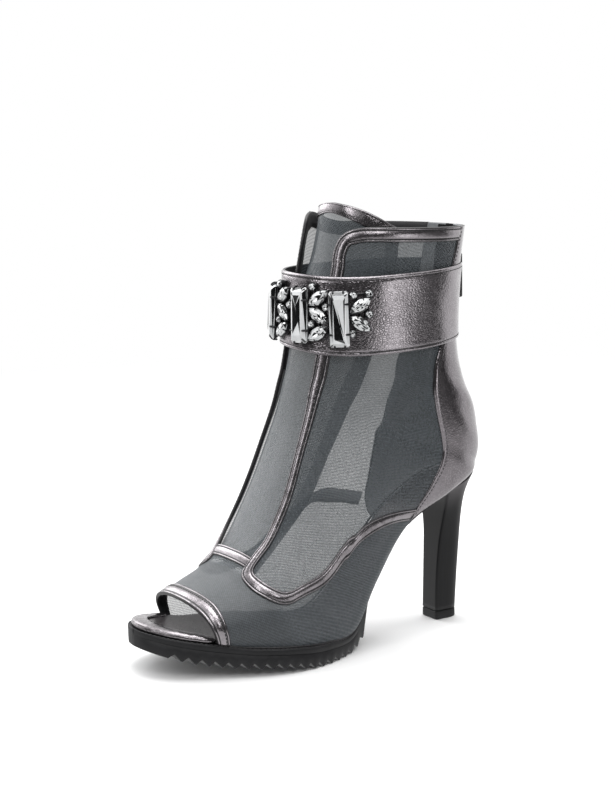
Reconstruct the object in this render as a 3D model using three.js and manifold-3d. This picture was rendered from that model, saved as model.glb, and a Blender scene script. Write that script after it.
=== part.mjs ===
// Open-toe ankle boot with a high slim heel, for the left foot.
// Millimetres, +Z up, toe towards -Y, outer (lateral) side towards +X.
// The origin is the centre of the heel's tip, on the floor.
import * as THREE from "three";
import { mergeVertices } from "three/addons/utils/BufferGeometryUtils.js";
import Module from "manifold-3d";

const wasm = await Module();
wasm.setup();

// ---------------------------------------------------------------- sizes
const WALL = 1.6; // upper: mesh, lining and trim together
const GAP = 0.3; // pieces that touch meet this far apart
const TONGUE_T = 1.1; // front panel
const INSOLE_T = 2.4; // covered board
const INSOLE_RIM_T = 3.4; // rolled rim at the open toe
const SOLE_EDGE = 2.2; // how far the platform stands out past the board
const TEETH = 20; // saw-cut lugs across the platform
const FIRST_TOOTH = -190.6;
const TOOTH_PITCH = 6.3;
const TOOTH_DEPTH = 2.3;
const TOOTH_FLAT = 1.2;
const STRAP_T = 2.0;
const ZIP_HALF = 3.6; // half width of the slot at the back
const TIP_H = 5.4; // top piece of the heel
const U_THROAT = 2.6; // where the throat starts, in section numbers
const U_ZIP = 10.5; // where the zip starts
const U_RING = 9; // from this section on the section is a closed ring

// Sections of the last, fanned from the open toe to the collar. Each lies in a
// plane through its ridge point T (front) and its bottom or back point B.
// ty tz: T. by bz: B. xt xb: sideways place of T and B. wl wm: lateral and medial
// half width. tw: where along T-B it is widest. fl fm: half width at the board.
// nt nb: roundness of the front and of the back (2 is an ellipse).
const SECTION_COLUMNS = ["ty", "tz", "by", "bz", "xt", "xb", "wl", "wm", "tw", "fl", "fm", "nt", "nb"];
const SECTIONS = [
  [-173.2, 39.1, -166.6, 18.9, -5, -4, 34, 33.5, 0.72, 32, 32.5, 2.3, 2.2],
  [-160.1, 44.9, -149.7, 16.2, -5, -2, 39, 37.5, 0.72, 37.5, 36.5, 2.4, 2.2],
  [-145.9, 52.1, -127.7, 14.3, -4, 0, 42, 40, 0.71, 42, 39.5, 2.6, 2.2],
  [-135.6, 67.4, -103.7, 12.0, -3, 1, 40.5, 38, 0.67, 38.5, 34.5, 2.8, 2.2],
  [-126.7, 85.2, -80.0, 12.8, -3, 1, 37.5, 36, 0.64, 28.1, 25.5, 2.8, 2.2],
  [-118.9, 102.5, -60.1, 35.9, -2, 1, 36, 35, 0.58, 18, 17, 2.75, 2.2],
  [-112.0, 120.4, -37.7, 63.4, -1, 0.7, 35, 34.5, 0.53, 15.5, 15, 2.7, 2.2],
  [-106.6, 137.8, -10.4, 79.8, 0, 0.3, 34.5, 34, 0.51, 20.5, 18.5, 2.6, 2.2],
  [-103.4, 150.2, 10.2, 88.6, 0, 0, 34, 33.5, 0.51, 15, 14.5, 2.6, 2.2],
  [-100.7, 159.6, 20.2, 93.2, 0, 0, 34, 33.5, 0.51, 0, 0, 2.6, 2.2],
  [-98.5, 169.6, 21.8, 109.6, 0, 0, 34.5, 34, 0.5, 0, 0, 2.55, 2.2],
  [-96.3, 179.6, 17.7, 128.7, 0, 0, 35, 34.5, 0.5, 0, 0, 2.5, 2.15],
  [-94.1, 189.0, 9.6, 146.8, 0, 0, 35.5, 35, 0.5, 0, 0, 2.4, 2.1],
  [-91.8, 199.0, 5.5, 165.9, 0, 0, 36, 35.5, 0.5, 0, 0, 2.35, 2.1],
  [-89.6, 209.9, 5.4, 187.9, 0, 0, 36.5, 36, 0.5, 0, 0, 2.3, 2.1],
  [-86.9, 221.9, 7.4, 209.9, 0, 0, 37, 36.5, 0.5, 0, 0, 2.25, 2.1],
  [-83.5, 237.8, 10.9, 233.8, 0, 0, 37.5, 37, 0.5, 0, 0, 2.2, 2.1],
];
const U_TOP = SECTIONS.length - 1;

// Front edge of the side panels: section number u, and how far round from the ridge, v.
const THROAT = [
  { u: 0, v: 0.125 }, { u: 2.6, v: 0.125 }, { u: 3.3, v: 0.155 }, { u: 4, v: 0.168 }, { u: 5, v: 0.172 },
  { u: 6, v: 0.163 }, { u: 7, v: 0.153 }, { u: 8.6, v: 0.145 }, { u: 10, v: 0.145 }, { u: 12, v: 0.15 },
  { u: 14.5, v: 0.158 }, { u: 15.1, v: 0.16 }, { u: 15.5, v: 0.175 }, { u: 15.8, v: 0.205 }, { u: 16, v: 0.26 },
];

// Front panel: half width on its lateral side, and how high it stands by how far round.
const TONGUE_SIDE = [
  { u: 2.3, v: 0.185 }, { u: 2.6, v: 0.2 }, { u: 4, v: 0.27 }, { u: 4.9, v: 0.325 }, { u: 5.4, v: 0.343 }, { u: 6.1, v: 0.346 },
  { u: 8.5, v: 0.353 }, { u: 10.8, v: 0.401 }, { u: 14.6, v: 0.5 }, { u: 15.7, v: 0.484 }, { u: 16.5, v: 0.46 },
];
const TONGUE_TOP = [
  { v: -0.3, u: 16.45 }, { v: -0.2, u: 16.64 }, { v: -0.08, u: 16.83 }, { v: 0, u: 16.95 }, { v: 0.03, u: 16.98 }, { v: 0.156, u: 16.8 },
  { v: 0.258, u: 16.58 }, { v: 0.323, u: 16.4 }, { v: 0.378, u: 16.22 }, { v: 0.46, u: 15.95 }, { v: 0.5, u: 15.9 },
];

// Outline of the insole board from above: y, medial x, lateral x.
const BOARD = [
  { y: -198.2, m: -5.6, l: -5.4 }, { y: -198, m: -8.4, l: -2.8 }, { y: -197.4, m: -11.6, l: 0.4 }, { y: -196.4, m: -15, l: 3.4 }, { y: -194.6, m: -19, l: 6.8 },
  { y: -192, m: -23, l: 10.5 }, { y: -189, m: -26.2, l: 13.8 }, { y: -186, m: -28.4, l: 16.5 }, { y: -182, m: -30.6, l: 19.2 },
  { y: -178, m: -32.3, l: 21.5 }, { y: -168, m: -35.8, l: 26.8 }, { y: -157, m: -38.2, l: 32.4 }, { y: -145, m: -39.8, l: 38.2 },
  { y: -131, m: -39.8, l: 42.4 }, { y: -117, m: -37.6, l: 42.8 }, { y: -102, m: -33, l: 39 }, { y: -90, m: -28.6, l: 34 }, { y: -80, m: -24.5, l: 29.1 },
  { y: -70, m: -19.8, l: 23.4 }, { y: -59.5, m: -16, l: 19 }, { y: -48, m: -14.2, l: 16.6 }, { y: -36.7, m: -14.3, l: 16.2 }, { y: -24, m: -16, l: 18.3 },
  { y: -10.4, m: -18.2, l: 20.8 }, { y: 0, m: -18, l: 19.6 }, { y: 8, m: -15.4, l: 16 }, { y: 13, m: -11, l: 11.5 }, { y: 17, m: -5.5, l: 5.5 },
];

// Height of the board's underside ahead of the first section.
const TOE_SPRING = [{ y: -204, z: 26.8 }, { y: -197.5, z: 25.2 }, { y: -189.6, z: 23.4 }, { y: -179.6, z: 21.3 }];

// Underside of the platform at the lugs' tips.
const TREAD = [
  { y: -204, z: 17.6 }, { y: -200.8, z: 16.2 }, { y: -191.5, z: 12.9 }, { y: -183.6, z: 10.4 }, { y: -177.7, z: 8.9 }, { y: -171.3, z: 7.6 },
  { y: -165, z: 6.6 }, { y: -159, z: 5.8 }, { y: -153.5, z: 5.2 }, { y: -147.8, z: 4.7 }, { y: -141.9, z: 4.2 }, { y: -136, z: 3.6 }, { y: -130.4, z: 2.9 },
  { y: -124, z: 2 }, { y: -118, z: 1.1 }, { y: -112.4, z: 0.25 }, { y: -110, z: 0 }, { y: -84.6, z: 0 }, { y: -81, z: 0.7 }, { y: -75.5, z: 2.4 }, { y: -70.6, z: 5.2 },
];
// The same behind the last lug: up the back of the platform and along the shank.
const BREAST = [
  { y: -69.6, z: 9 }, { y: -68.4, z: 14 }, { y: -66.8, z: 20.4 }, { y: -64.6, z: 27.1 }, { y: -61, z: 32.6 }, { y: -56, z: 39 },
  { y: -50, z: 47.5 }, { y: -44, z: 54.6 }, { y: -37, z: 61.9 }, { y: -30, z: 67.6 }, { y: -23, z: 72.2 }, { y: -16, z: 75.7 }, { y: -9.6, z: 78.6 },
];

// Heel from the tip up to the seat: front y z, back y z, half width, roundness of the back.
const HEEL = [
  { fy: -7.4, fz: TIP_H + GAP, by: 9.3, bz: TIP_H + GAP, w: 7.3, n: 2.7 },
  { fy: -6.9, fz: 24, by: 10.7, bz: 24, w: 7.4, n: 2.6 },
  { fy: -5.9, fz: 42, by: 12.1, bz: 43, w: 8.2, n: 2.5 },
  { fy: -5.0, fz: 53, by: 12.8, bz: 55, w: 9.3, n: 2.4 },
  { fy: -4.4, fz: 63, by: 13.4, bz: 67, w: 11.4, n: 2.3 },
  { fy: -4.8, fz: 71, by: 14.2, bz: 77, w: 14.4, n: 2.25 },
  { fy: -6.4, fz: 77, by: 16.0, bz: 84.6, w: 17.6, n: 2.2 },
  { fy: -8.6, fz: 80.1, by: 19.2, bz: 91.2, w: 20.2, n: 2.1 },
];

// Ankle strap: two rings it runs through. Front y z, back y z, half widths, roundness in front and behind.
const STRAP = [
  { fy: -99.7, fz: 167.7, by: 6.0, bz: 171, wl: 37.6, wm: 36.8, n: 2.2, nb: 2.08 },
  { fy: -97.2, fz: 208.6, by: 8.4, bz: 212.8, wl: 38.6, wm: 38.0, n: 2.2, nb: 2.08 },
];
// Its edges, in mm above the lower and the upper ring, by how far round, v.
const STRAP_EDGE = [
  { v: -1, low: 0.8, high: 0.5 }, { v: -0.6, low: 0, high: 1.5 }, { v: -0.3, low: 2.6, high: 3.4 }, { v: -0.1, low: 3.9, high: 4.2 }, { v: 0, low: 3.4, high: 4.1 },
  { v: 0.1, low: 1.9, high: 3.4 }, { v: 0.2, low: 0.2, high: 2.3 }, { v: 0.3, low: -0.7, high: 1.6 }, { v: 0.5, low: -1.1, high: 1.2 }, { v: 0.75, low: -0.3, high: 0.7 }, { v: 1, low: 0.8, high: 0.5 },
];
const STRAP_END = 5.4; // the strap stops this far either side of the zip
const STRAP_DIP = 0.9; // it follows the hollow above the heel
const STRAP_SKIVE = 0.35; // and is thinner by this share towards its ends
const SET_BASE = 1.5; // dark setting under the stones
const STONE_LIFT = 0.7;

// ---------------------------------------------------------------- curves
const lerp = (a, b, t) => a + (b - a) * t;
const smooth = (t) => ((t = Math.min(1, Math.max(0, t))), t * t * (3 - 2 * t));
const catmull = (p0, p1, p2, p3, f) =>
  0.5 * (2 * p1 + (p2 - p0) * f + (2 * p0 - 5 * p1 + 4 * p2 - p3) * f * f + (3 * p1 - p0 - 3 * p2 + p3) * f ** 3);

// Value of column `col` in a table with rising key `key`, by straight lines.
function table(rows, key, col, x) {
  let i = 1;
  while (i < rows.length - 1 && rows[i][key] < x) i++;
  const a = rows[i - 1], b = rows[i];
  return lerp(a[col], b[col], Math.min(1, Math.max(0, (x - a[key]) / (b[key] - a[key]))));
}
// The same, eased by averaging over a short window.
const eased = (rows, key, col, x, r) =>
  [-2, -1, 0, 1, 2].reduce((s, k) => s + table(rows, key, col, x + (k * r) / 2), 0) / 5;
const treadZ = (y) => table(TREAD, "y", "z", y);

function section(u) {
  const last = SECTIONS.length - 1;
  const i = Math.min(last - 1, Math.max(0, Math.floor(u)));
  const f = u - i;
  const out = {};
  SECTION_COLUMNS.forEach((name, k) => {
    const p1 = SECTIONS[i][k], p2 = SECTIONS[i + 1][k];
    const p0 = i > 0 ? SECTIONS[i - 1][k] : 2 * p1 - p2;
    const p3 = i < last - 1 ? SECTIONS[i + 2][k] : 2 * p2 - p1;
    out[name] = catmull(p0, p1, p2, p3, f);
  });
  return out;
}

// Height of the board's underside: ahead of the sections, then along their B points.
const BOTTOM = [...TOE_SPRING];
for (let u = 0; u <= 8.8; u += 0.1) {
  const s = section(u);
  BOTTOM.push({ y: s.by, z: s.bz });
}
const boardZ = (y) => table(BOTTOM, "y", "z", y);

// A point of the last: u along the boot, v from the ridge (0) round to the board
// or the back (1 lateral, -1 medial), d outwards in the plane of the section.
const SPLIT = 0.56;
function last(u, v, d = 0) {
  const s = section(u);
  const ey = s.by - s.ty, ez = s.bz - s.tz, len = Math.hypot(ey, ez);
  const ring = smooth(u - (U_RING - 1));
  const ty = s.ty - (d * ey) / len, tz = s.tz - (d * ez) / len;
  const by = s.by + (d * ring * ey) / len, bz = s.bz + (d * ring * ez) / len;
  const lateral = v >= 0;
  const w0 = lateral ? s.wl : s.wm, w = w0 + d;
  const f = u >= U_RING ? 0 : (Math.max(0, lateral ? s.fl : s.fm) * w) / w0;
  const a = Math.abs(v);
  let x, t;
  if (a <= SPLIT) {
    const th = ((a / SPLIT) * Math.PI) / 2;
    x = w * Math.sin(th) ** (2 / s.nt);
    t = s.tw * (1 - Math.cos(th) ** (2 / s.nt));
  } else {
    const ph = (((a - SPLIT) / (1 - SPLIT)) * Math.PI) / 2;
    x = f + (w - f) * Math.max(0, Math.cos(ph)) ** (2 / s.nb);
    t = s.tw + (1 - s.tw) * Math.sin(ph) ** (2 / s.nb);
  }
  if (a >= 1) { x = f; t = 1; }
  return [(lateral ? x : -x) + lerp(s.xt, s.xb, t), lerp(ty, by, t), lerp(tz, bz, t)];
}
// How far round the back a column must be to stand `half` mm from the back seam.
function backColumn(u, half) {
  const s = section(u);
  const ph = Math.acos(Math.min(1, (half / s.wl) ** (s.nb / 2)));
  return SPLIT + ((1 - SPLIT) * ph) / (Math.PI / 2);
}
const throat = (u) => eased(THROAT, "u", "v", u, u > 2.8 && u < 15 ? 0.5 : 0.05);

// ---------------------------------------------------------------- solids
function soup(quads) {
  const v = [];
  for (const [a, b, c, e] of quads) {
    v.push(...a, ...b, ...c);
    if (e) v.push(...a, ...c, ...e);
  }
  let g = new THREE.BufferGeometry();
  g.setAttribute("position", new THREE.Float32BufferAttribute(v, 3));
  g = mergeVertices(g, 1e-3);
  // drop the triangles that collapsed
  const ix = g.index.array, keep = [];
  for (let i = 0; i < ix.length; i += 3)
    if (ix[i] !== ix[i + 1] && ix[i + 1] !== ix[i + 2] && ix[i] !== ix[i + 2]) keep.push(ix[i], ix[i + 1], ix[i + 2]);
  g.setIndex(keep);
  return outward(g);
}
function outward(g) {
  const p = g.attributes.position, ix = g.index.array;
  let vol = 0;
  const A = new THREE.Vector3(), B = new THREE.Vector3(), C = new THREE.Vector3();
  for (let i = 0; i < ix.length; i += 3) {
    A.fromBufferAttribute(p, ix[i]); B.fromBufferAttribute(p, ix[i + 1]); C.fromBufferAttribute(p, ix[i + 2]);
    vol += A.dot(B.cross(C));
  }
  if (vol < 0) for (let i = 0; i < ix.length; i += 3) [ix[i + 1], ix[i + 2]] = [ix[i + 2], ix[i + 1]];
  g.computeVertexNormals();
  return g;
}
// A sheet with thickness: grids of outer and inner points, the cells that exist,
// and the rows whose first and last columns join round the back.
function sheet(outer, inner, exists, joined = () => false) {
  const rows = outer.length - 1, cols = outer[0].length - 1;
  const has = (i, j) => {
    if (i < 0 || i >= rows) return false;
    if ((j < 0 || j >= cols) && !joined(i)) return false;
    return exists(i, (j + cols) % cols);
  };
  const q = [];
  for (let i = 0; i < rows; i++)
    for (let j = 0; j < cols; j++) {
      if (!has(i, j)) continue;
      const a = outer[i][j], b = outer[i][j + 1], c = outer[i + 1][j + 1], d = outer[i + 1][j];
      const A = inner[i][j], B = inner[i][j + 1], C = inner[i + 1][j + 1], D = inner[i + 1][j];
      q.push([a, b, c, d], [A, D, C, B]);
      if (!has(i - 1, j)) q.push([b, a, A, B]);
      if (!has(i + 1, j)) q.push([d, c, C, D]);
      if (!has(i, j - 1)) q.push([a, d, D, A]);
      if (!has(i, j + 1)) q.push([c, b, B, C]);
    }
  return soup(q);
}
const grid = (us, vs, f) => us.map((u, i) => vs.map((v, j) => f(u, v, i, j)));
const steps = (a, b, n) => Array.from({ length: n + 1 }, (_, i) => lerp(a, b, i / n));

// A solid from closed loops stacked one on the next, capped at both ends.
function stack(loops) {
  const q = [], n = loops[0].length;
  for (let i = 0; i + 1 < loops.length; i++)
    for (let j = 0; j < n; j++) {
      const k = (j + 1) % n;
      q.push([loops[i][j], loops[i][k], loops[i + 1][k], loops[i + 1][j]]);
    }
  const cap = (loop, flip) => {
    const c = [0, 1, 2].map((k) => loop.reduce((s, p) => s + p[k], 0) / n);
    for (let j = 0; j < n; j++) {
      const k = (j + 1) % n;
      q.push(flip ? [c, loop[k], loop[j]] : [c, loop[j], loop[k]]);
    }
  };
  cap(loops[0], true);
  cap(loops[loops.length - 1], false);
  return soup(q);
}

// ---------------------------------------------------------------- upper
const upperRows = [0, 0.5, 1, 1.5, 2, U_THROAT, 3, 3.5, 4, 4.5, 5, 5.5, 6, 6.5, 7, 7.5, 8, 8.35, 8.7, 9, 9.5, 10, U_ZIP, 11, 11.5, 12, 12.5, 13, 13.5, 14, 14.5, 15, 15.35, 15.65, 15.85, U_TOP];
const SIDE = 12, MID = 5;
function upperColumns(u) {
  const t = throat(u), z = backColumn(u, ZIP_HALF);
  const side = steps(t, z, SIDE);
  return [-1, ...side.map((v) => -v).reverse(), ...steps(-t, t, MID).slice(1, -1), ...side, 1];
}
const upperCells = { throatFrom: SIDE + 1, throatTo: SIDE + MID, last: 2 * SIDE + MID + 1 };
// The collar climbs towards the front of its medial side.
const climb = (u, v) => 0.42 * smooth((u - 14.2) / 1.8) * smooth((-v - 0.02) / 0.12) * (1 - smooth((-v - 0.24) / 0.3));
function upper() {
  const outer = upperRows.map((u) => upperColumns(u).map((v) => last(u + climb(u, v), v)));
  const inner = upperRows.map((u) => upperColumns(u).map((v) => last(u + climb(u, v), v, -WALL)));
  const exists = (i, j) => {
    const u = upperRows[i];
    if (u >= U_THROAT && j >= upperCells.throatFrom && j <= upperCells.throatTo) return false;
    if (u >= U_ZIP && (j === 0 || j === upperCells.last)) return false;
    return true;
  };
  return sheet(outer, inner, exists, (i) => upperRows[i] >= U_RING);
}

// Front panel, behind the edges of the side panels, standing above the collar
// and set back from it at the top. Its lateral side runs well under the panel.
function tongue() {
  const out = -(WALL + GAP + 0.25), s = steps(0, 1, 22), r = [...steps(-1, 0, 5), ...steps(0, 1, 9).slice(1)];
  const half = (u, side) => side > 0
    ? eased(TONGUE_SIDE, "u", "v", u, 0.5)
    : throat(Math.min(u, 15)) + lerp(0.06, 0.12, smooth((u - 8) / 8));
  const at = (f, side, d) => {
    const top = eased(TONGUE_TOP, "v", "u", side * half(16.4, side), 0.04);
    const u = lerp(U_THROAT - 0.3, top, f);
    return last(u, side * half(u, side), d - 4.6 * smooth((u - 12) / 4));
  };
  return sheet(grid(s, r, (f, side) => at(f, side, out)), grid(s, r, (f, side) => at(f, side, out - TONGUE_T)), () => true);
}

// ---------------------------------------------------------------- sole unit
// The board's outline moved outwards by grow(y), as a table of y, medial x, lateral x.
function offsetBoard(grow) {
  const side = (key, sign) => {
    const pts = [];
    for (let y = BOARD[0].y; y <= 17; y += y < -190 ? 0.1 : 1) pts.push([eased(BOARD, "y", key, y, y < -188 ? 0.3 : 3), y]);
    const out = [];
    for (let i = 0; i < pts.length; i++) {
      const a = pts[Math.max(0, i - 1)], b = pts[Math.min(pts.length - 1, i + 1)];
      const dx = b[0] - a[0], dy = b[1] - a[1], len = Math.hypot(dx, dy) || 1;
      const g = grow(pts[i][1]);
      const n = i === 0 ? [0, -1] : [(sign * dy) / len, (-sign * dx) / len];
      const y = pts[i][1] + g * n[1];
      if (!out.length || y > out[out.length - 1].y + 0.02) out.push({ y, x: pts[i][0] + g * n[0] });
    }
    return out;
  };
  const l = side("l", 1), m = side("m", -1);
  return { l: (y) => table(l, "y", "x", y), m: (y) => table(m, "y", "x", y), tip: Math.max(l[0].y, m[0].y) };
}
function insole() {
  const clear = (y) => lerp(0.2, WALL + GAP + 1.7, smooth((y + 171) / 4)) - 0.6 * smooth((y + 88) / 10) + 2.2 * smooth((y + 12) / 20);
  const edge = offsetBoard((y) => -clear(y));
  const ys = [edge.tip + 0.05, -197.3, -196.4, -194.6, -192, -189, -185, -179, -173, -167.5, -161, -150, -139, -128, -120, -112, -104, -98, -92, -86, -80, -75, -70, -65, -60, -54, -48, -42, -34, -24, -14, -4, 4, 9];
  const lanes = [-1, -0.9, -0.5, 0, 0.5, 0.9, 1];
  const rim = (y) => lerp(INSOLE_RIM_T, INSOLE_T, smooth((y + 172) / 16));
  const point = (y, lane, top) => {
    const x = lerp(edge.m(y), edge.l(y), (lane + 1) / 2);
    const drop = Math.abs(lane) === 1 ? 0.9 : 0;
    return [x, y, boardZ(y) + (top ? rim(y) - drop : 0.1)];
  };
  return sheet(grid(ys, lanes, (y, l) => point(y, l, true)), grid(ys, lanes, (y, l) => point(y, l, false)), () => true);
}
// Platform with saw-cut lugs, running into a thin shank under the arch.
function outsole() {
  const edge = offsetBoard((y) => lerp(SOLE_EDGE, 0.4, smooth((y + 100) / 34)));
  const st = [];
  for (const d of [0.05, 0.5, 1.4, 2.8, 4.8, 7.2]) st.push({ y: edge.tip + d, z: treadZ(edge.tip + d) });
  for (let k = 0; k < TEETH; k++) {
    const y = FIRST_TOOTH + k * TOOTH_PITCH;
    st.push({ y: y - TOOTH_FLAT / 2, z: treadZ(y) });
    st.push({ y: y + TOOTH_FLAT / 2, z: treadZ(y) });
    if (k < TEETH - 1) {
      const v = y + TOOTH_PITCH / 2;
      st.push({ y: v, z: treadZ(v) + TOOTH_DEPTH });
    }
  }
  st.push(...BREAST);
  const lanes = [-1, -0.5, 0, 0.5, 1];
  const x = (s, lane) => lerp(edge.m(s.y), edge.l(s.y), (lane + 1) / 2);
  const taper = (y) => lerp(0.985, 1, smooth((y + 75) / 10));
  const top = st.map((s) => lanes.map((l) => [x(s, l), s.y, boardZ(s.y) - GAP - 0.42 * smooth((s.y + 85) / 10)]));
  const low = st.map((s) => lanes.map((l) => [x(s, l) * taper(s.y), s.y, s.z]));
  return sheet(top, low, () => true);
}
function heelLoop(r, n = 28, inset = 0) {
  // flat breast at the front, rounded back
  const pts = [], w = r.w - inset;
  const fy = r.fy + inset, by = r.by - inset;
  const pz = (y) => lerp(r.fz, r.bz, (y - r.fy) / (r.by - r.fy));
  const c = 1.0; // softened corner of the breast
  const push = (x, y) => pts.push([x, y, pz(y)]);
  push(-w * 0.5, fy); push(0, fy); push(w * 0.5, fy); push(w - c, fy); push(w, fy + c);
  const mid = lerp(fy, by, 0.42);
  push(w * 1.01, mid);
  const half = (n - 12) / 2;
  for (let k = 1; k < 2 * half; k++) {
    const a = (k / (2 * half)) * Math.PI;
    push(w * 1.01 * Math.sign(Math.cos(a)) * Math.abs(Math.cos(a)) ** (2 / r.n), mid + (by - mid) * Math.sin(a) ** (2 / r.n));
  }
  push(-w * 1.01, mid); push(-w, fy + c); push(-(w - c), fy);
  return pts;
}
const heel = () => stack(HEEL.map((r) => heelLoop(r)));
const heelTip = () => {
  const r = { ...HEEL[0], fz: 0, bz: 0 }, t = { ...HEEL[0], fz: TIP_H, bz: TIP_H };
  return stack([heelLoop(r, 28, 0.3), heelLoop({ ...r, fz: 0.5, bz: 0.5 }), heelLoop(t)]);
};

// ---------------------------------------------------------------- ankle strap
// A point of the band: h from the lower ring (0) to the upper (1), v round it from the
// front (0) to the back (1 lateral, -1 medial), d outwards.
function strapPoint(h, v, d = 0) {
  const [a, b] = STRAP;
  const s = {};
  for (const k of Object.keys(a)) s[k] = lerp(a[k], b[k], h);
  s.by -= STRAP_DIP * Math.max(0, 4 * h * (1 - h));
  const th = Math.abs(v) * Math.PI, n = Math.abs(v) > 0.5 ? s.nb : s.n;
  const c = Math.cos(th);
  const x = ((v >= 0 ? s.wl : s.wm) + d) * Math.abs(Math.sin(th)) ** (2 / n) * (v >= 0 ? 1 : -1);
  const t = 0.5 * (1 - Math.sign(c) * Math.abs(c) ** (2 / n));
  return [x, lerp(s.fy - d, s.by + d, t), lerp(s.fz, s.bz, t)];
}
// h of the strap's own lower (0) and upper (1) edge, blended between.
function strapH(e, v) {
  const tall = STRAP[1].fz - STRAP[0].fz;
  return lerp(eased(STRAP_EDGE, "v", "low", v, 0.08) / tall, 1 + eased(STRAP_EDGE, "v", "high", v, 0.08) / tall, e);
}
function strapEnd(h, side) {
  let lo = 0.8, hi = 1;
  for (let k = 0; k < 30; k++) {
    const m = (lo + hi) / 2;
    if (Math.abs(strapPoint(h, side * m)[0]) > STRAP_END) lo = m; else hi = m;
  }
  return lo;
}
function strap() {
  const es = steps(0, 1, 4), cs = steps(-1, 1, 44);
  const at = (e, c, d) => {
    const v = c * strapEnd(0.5, Math.sign(c) || 1);
    return strapPoint(strapH(e, v), v, d);
  };
  const thick = (c) => STRAP_T * (1 - STRAP_SKIVE * smooth((Math.abs(c) - 0.6) / 0.3));
  return sheet(grid(es, cs, (e, c) => at(e, c, thick(c))), grid(es, cs, (e, c) => at(e, c, 0)), () => true);
}

// ---------------------------------------------------------------- crystals on the strap
// Local frame on the strap: origin on the setting's face, X round the strap, Y up, Z outwards.
const MID_V = 0.0705, HALF_V = 0.3; // middle and half length of the setting, round the strap
const settingV = (t) => MID_V + t * HALF_V;
function strapFrame(h, v, lift) {
  const at = (hh, vv) => new THREE.Vector3(...strapPoint(hh, vv, STRAP_T + GAP + SET_BASE));
  const right = at(h, v + 0.02).sub(at(h, v - 0.02)).normalize();
  const up0 = at(h + 0.1, v).sub(at(h - 0.1, v)).normalize();
  const out = right.clone().cross(up0).normalize();
  const up = out.clone().cross(right);
  return new THREE.Matrix4().makeBasis(right, up, out).setPosition(at(h, v).addScaledVector(out, lift));
}
// Dark plate under the stones, narrowing to its two ends.
function setting() {
  const hs = steps(0.1, 0.9, 2), ts = steps(-1, 1, 20);
  const at = (h0, t, d) => strapPoint(0.54 + (h0 - 0.5) * (1 - 0.3 * smooth((Math.abs(t) - 0.72) / 0.28)), settingV(t), d);
  return sheet(
    grid(hs, ts, (h, t) => at(h, t, STRAP_T + GAP + SET_BASE)),
    grid(hs, ts, (h, t) => at(h, t, STRAP_T + GAP)),
    () => true,
  );
}
// A cut stone: the outline at the base, the girdle, then shrinking up to the table.
const stone = (outline, levels) => stack(levels.map(([z, kx, ky = kx]) => outline.map(([x, y]) => [x * kx, y * ky, z])));
const rectangle = (w, h, c) => [[-w / 2 + c, -h / 2], [w / 2 - c, -h / 2], [w / 2, -h / 2 + c], [w / 2, h / 2 - c], [w / 2 - c, h / 2], [-w / 2 + c, h / 2], [-w / 2, h / 2 - c], [-w / 2, -h / 2 + c]];
const almond = (l, w) => [[1, 0], [0.66, 0.56], [0.24, 0.93], [-0.24, 0.93], [-0.66, 0.56], [-1, 0], [-0.66, -0.56], [-0.24, -0.93], [0.24, -0.93], [0.66, -0.56]].map(([x, y]) => [(x * l) / 2, (y * w) / 2]);
const disc = (d) => Array.from({ length: 8 }, (_, k) => [(Math.cos(((k + 0.5) * Math.PI) / 4) * d) / 2, (Math.sin(((k + 0.5) * Math.PI) / 4) * d) / 2]);
const CUT = {
  baguette: { outline: rectangle(11, 30.5, 1), levels: [[0, 0.94, 0.98], [1.6, 1, 1], [3.6, 0.72, 0.88], [4.8, 0.36, 0.7]] },
  marquise: { outline: almond(13.2, 6.4), levels: [[0, 0.92], [1, 1], [2.4, 0.72], [3.2, 0.4]] },
  round: { outline: disc(3.7), levels: [[0, 0.9], [0.8, 1], [2, 0.55]] },
};
// Stones: kind, v round the strap, h up it, turn in degrees, lift off the plate.
const STONES = [
  { kind: "baguette", v: -0.112, h: 0.54, turn: 0 },
  { kind: "baguette", v: 0.084, h: 0.55, turn: 1.5 },
  { kind: "baguette", v: 0.246, h: 0.5, turn: 0 },
  // beyond the third baguette, to the lateral end
  { kind: "marquise", v: 0.318, h: 0.665, turn: 33 },
  { kind: "marquise", v: 0.322, h: 0.43, turn: -36 },
  { kind: "round", v: 0.292, h: 0.81, turn: 0 },
  { kind: "round", v: 0.345, h: 0.822, turn: 0 },
  { kind: "round", v: 0.35, h: 0.545, turn: 0 },
  { kind: "round", v: 0.296, h: 0.3, turn: 0 },
  // between the second and the third
  { kind: "marquise", v: 0.162, h: 0.785, turn: 34 },
  { kind: "marquise", v: 0.165, h: 0.55, turn: -36 },
  { kind: "marquise", v: 0.1665, h: 0.315, turn: 32 },
  { kind: "round", v: 0.133, h: 0.935, turn: 0 },
  { kind: "round", v: 0.193, h: 0.66, turn: 0 },
  { kind: "round", v: 0.136, h: 0.435, turn: 0 },
  // between the first and the second
  { kind: "marquise", v: -0.014, h: 0.8, turn: 34 },
  { kind: "marquise", v: -0.012, h: 0.565, turn: -36 },
  { kind: "marquise", v: -0.016, h: 0.33, turn: 32 },
  { kind: "round", v: -0.047, h: 0.935, turn: 0 },
  { kind: "round", v: 0.021, h: 0.675, turn: 0 },
  { kind: "round", v: -0.046, h: 0.45, turn: 0 },
  // beyond the first, to the medial end
  { kind: "marquise", v: -0.19, h: 0.66, turn: -33 },
  { kind: "marquise", v: -0.194, h: 0.42, turn: 36 },
  { kind: "round", v: -0.164, h: 0.805, turn: 0 },
  { kind: "round", v: -0.217, h: 0.815, turn: 0 },
  { kind: "round", v: -0.222, h: 0.54, turn: 0 },
  { kind: "round", v: -0.17, h: 0.275, turn: 0 },
];

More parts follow.
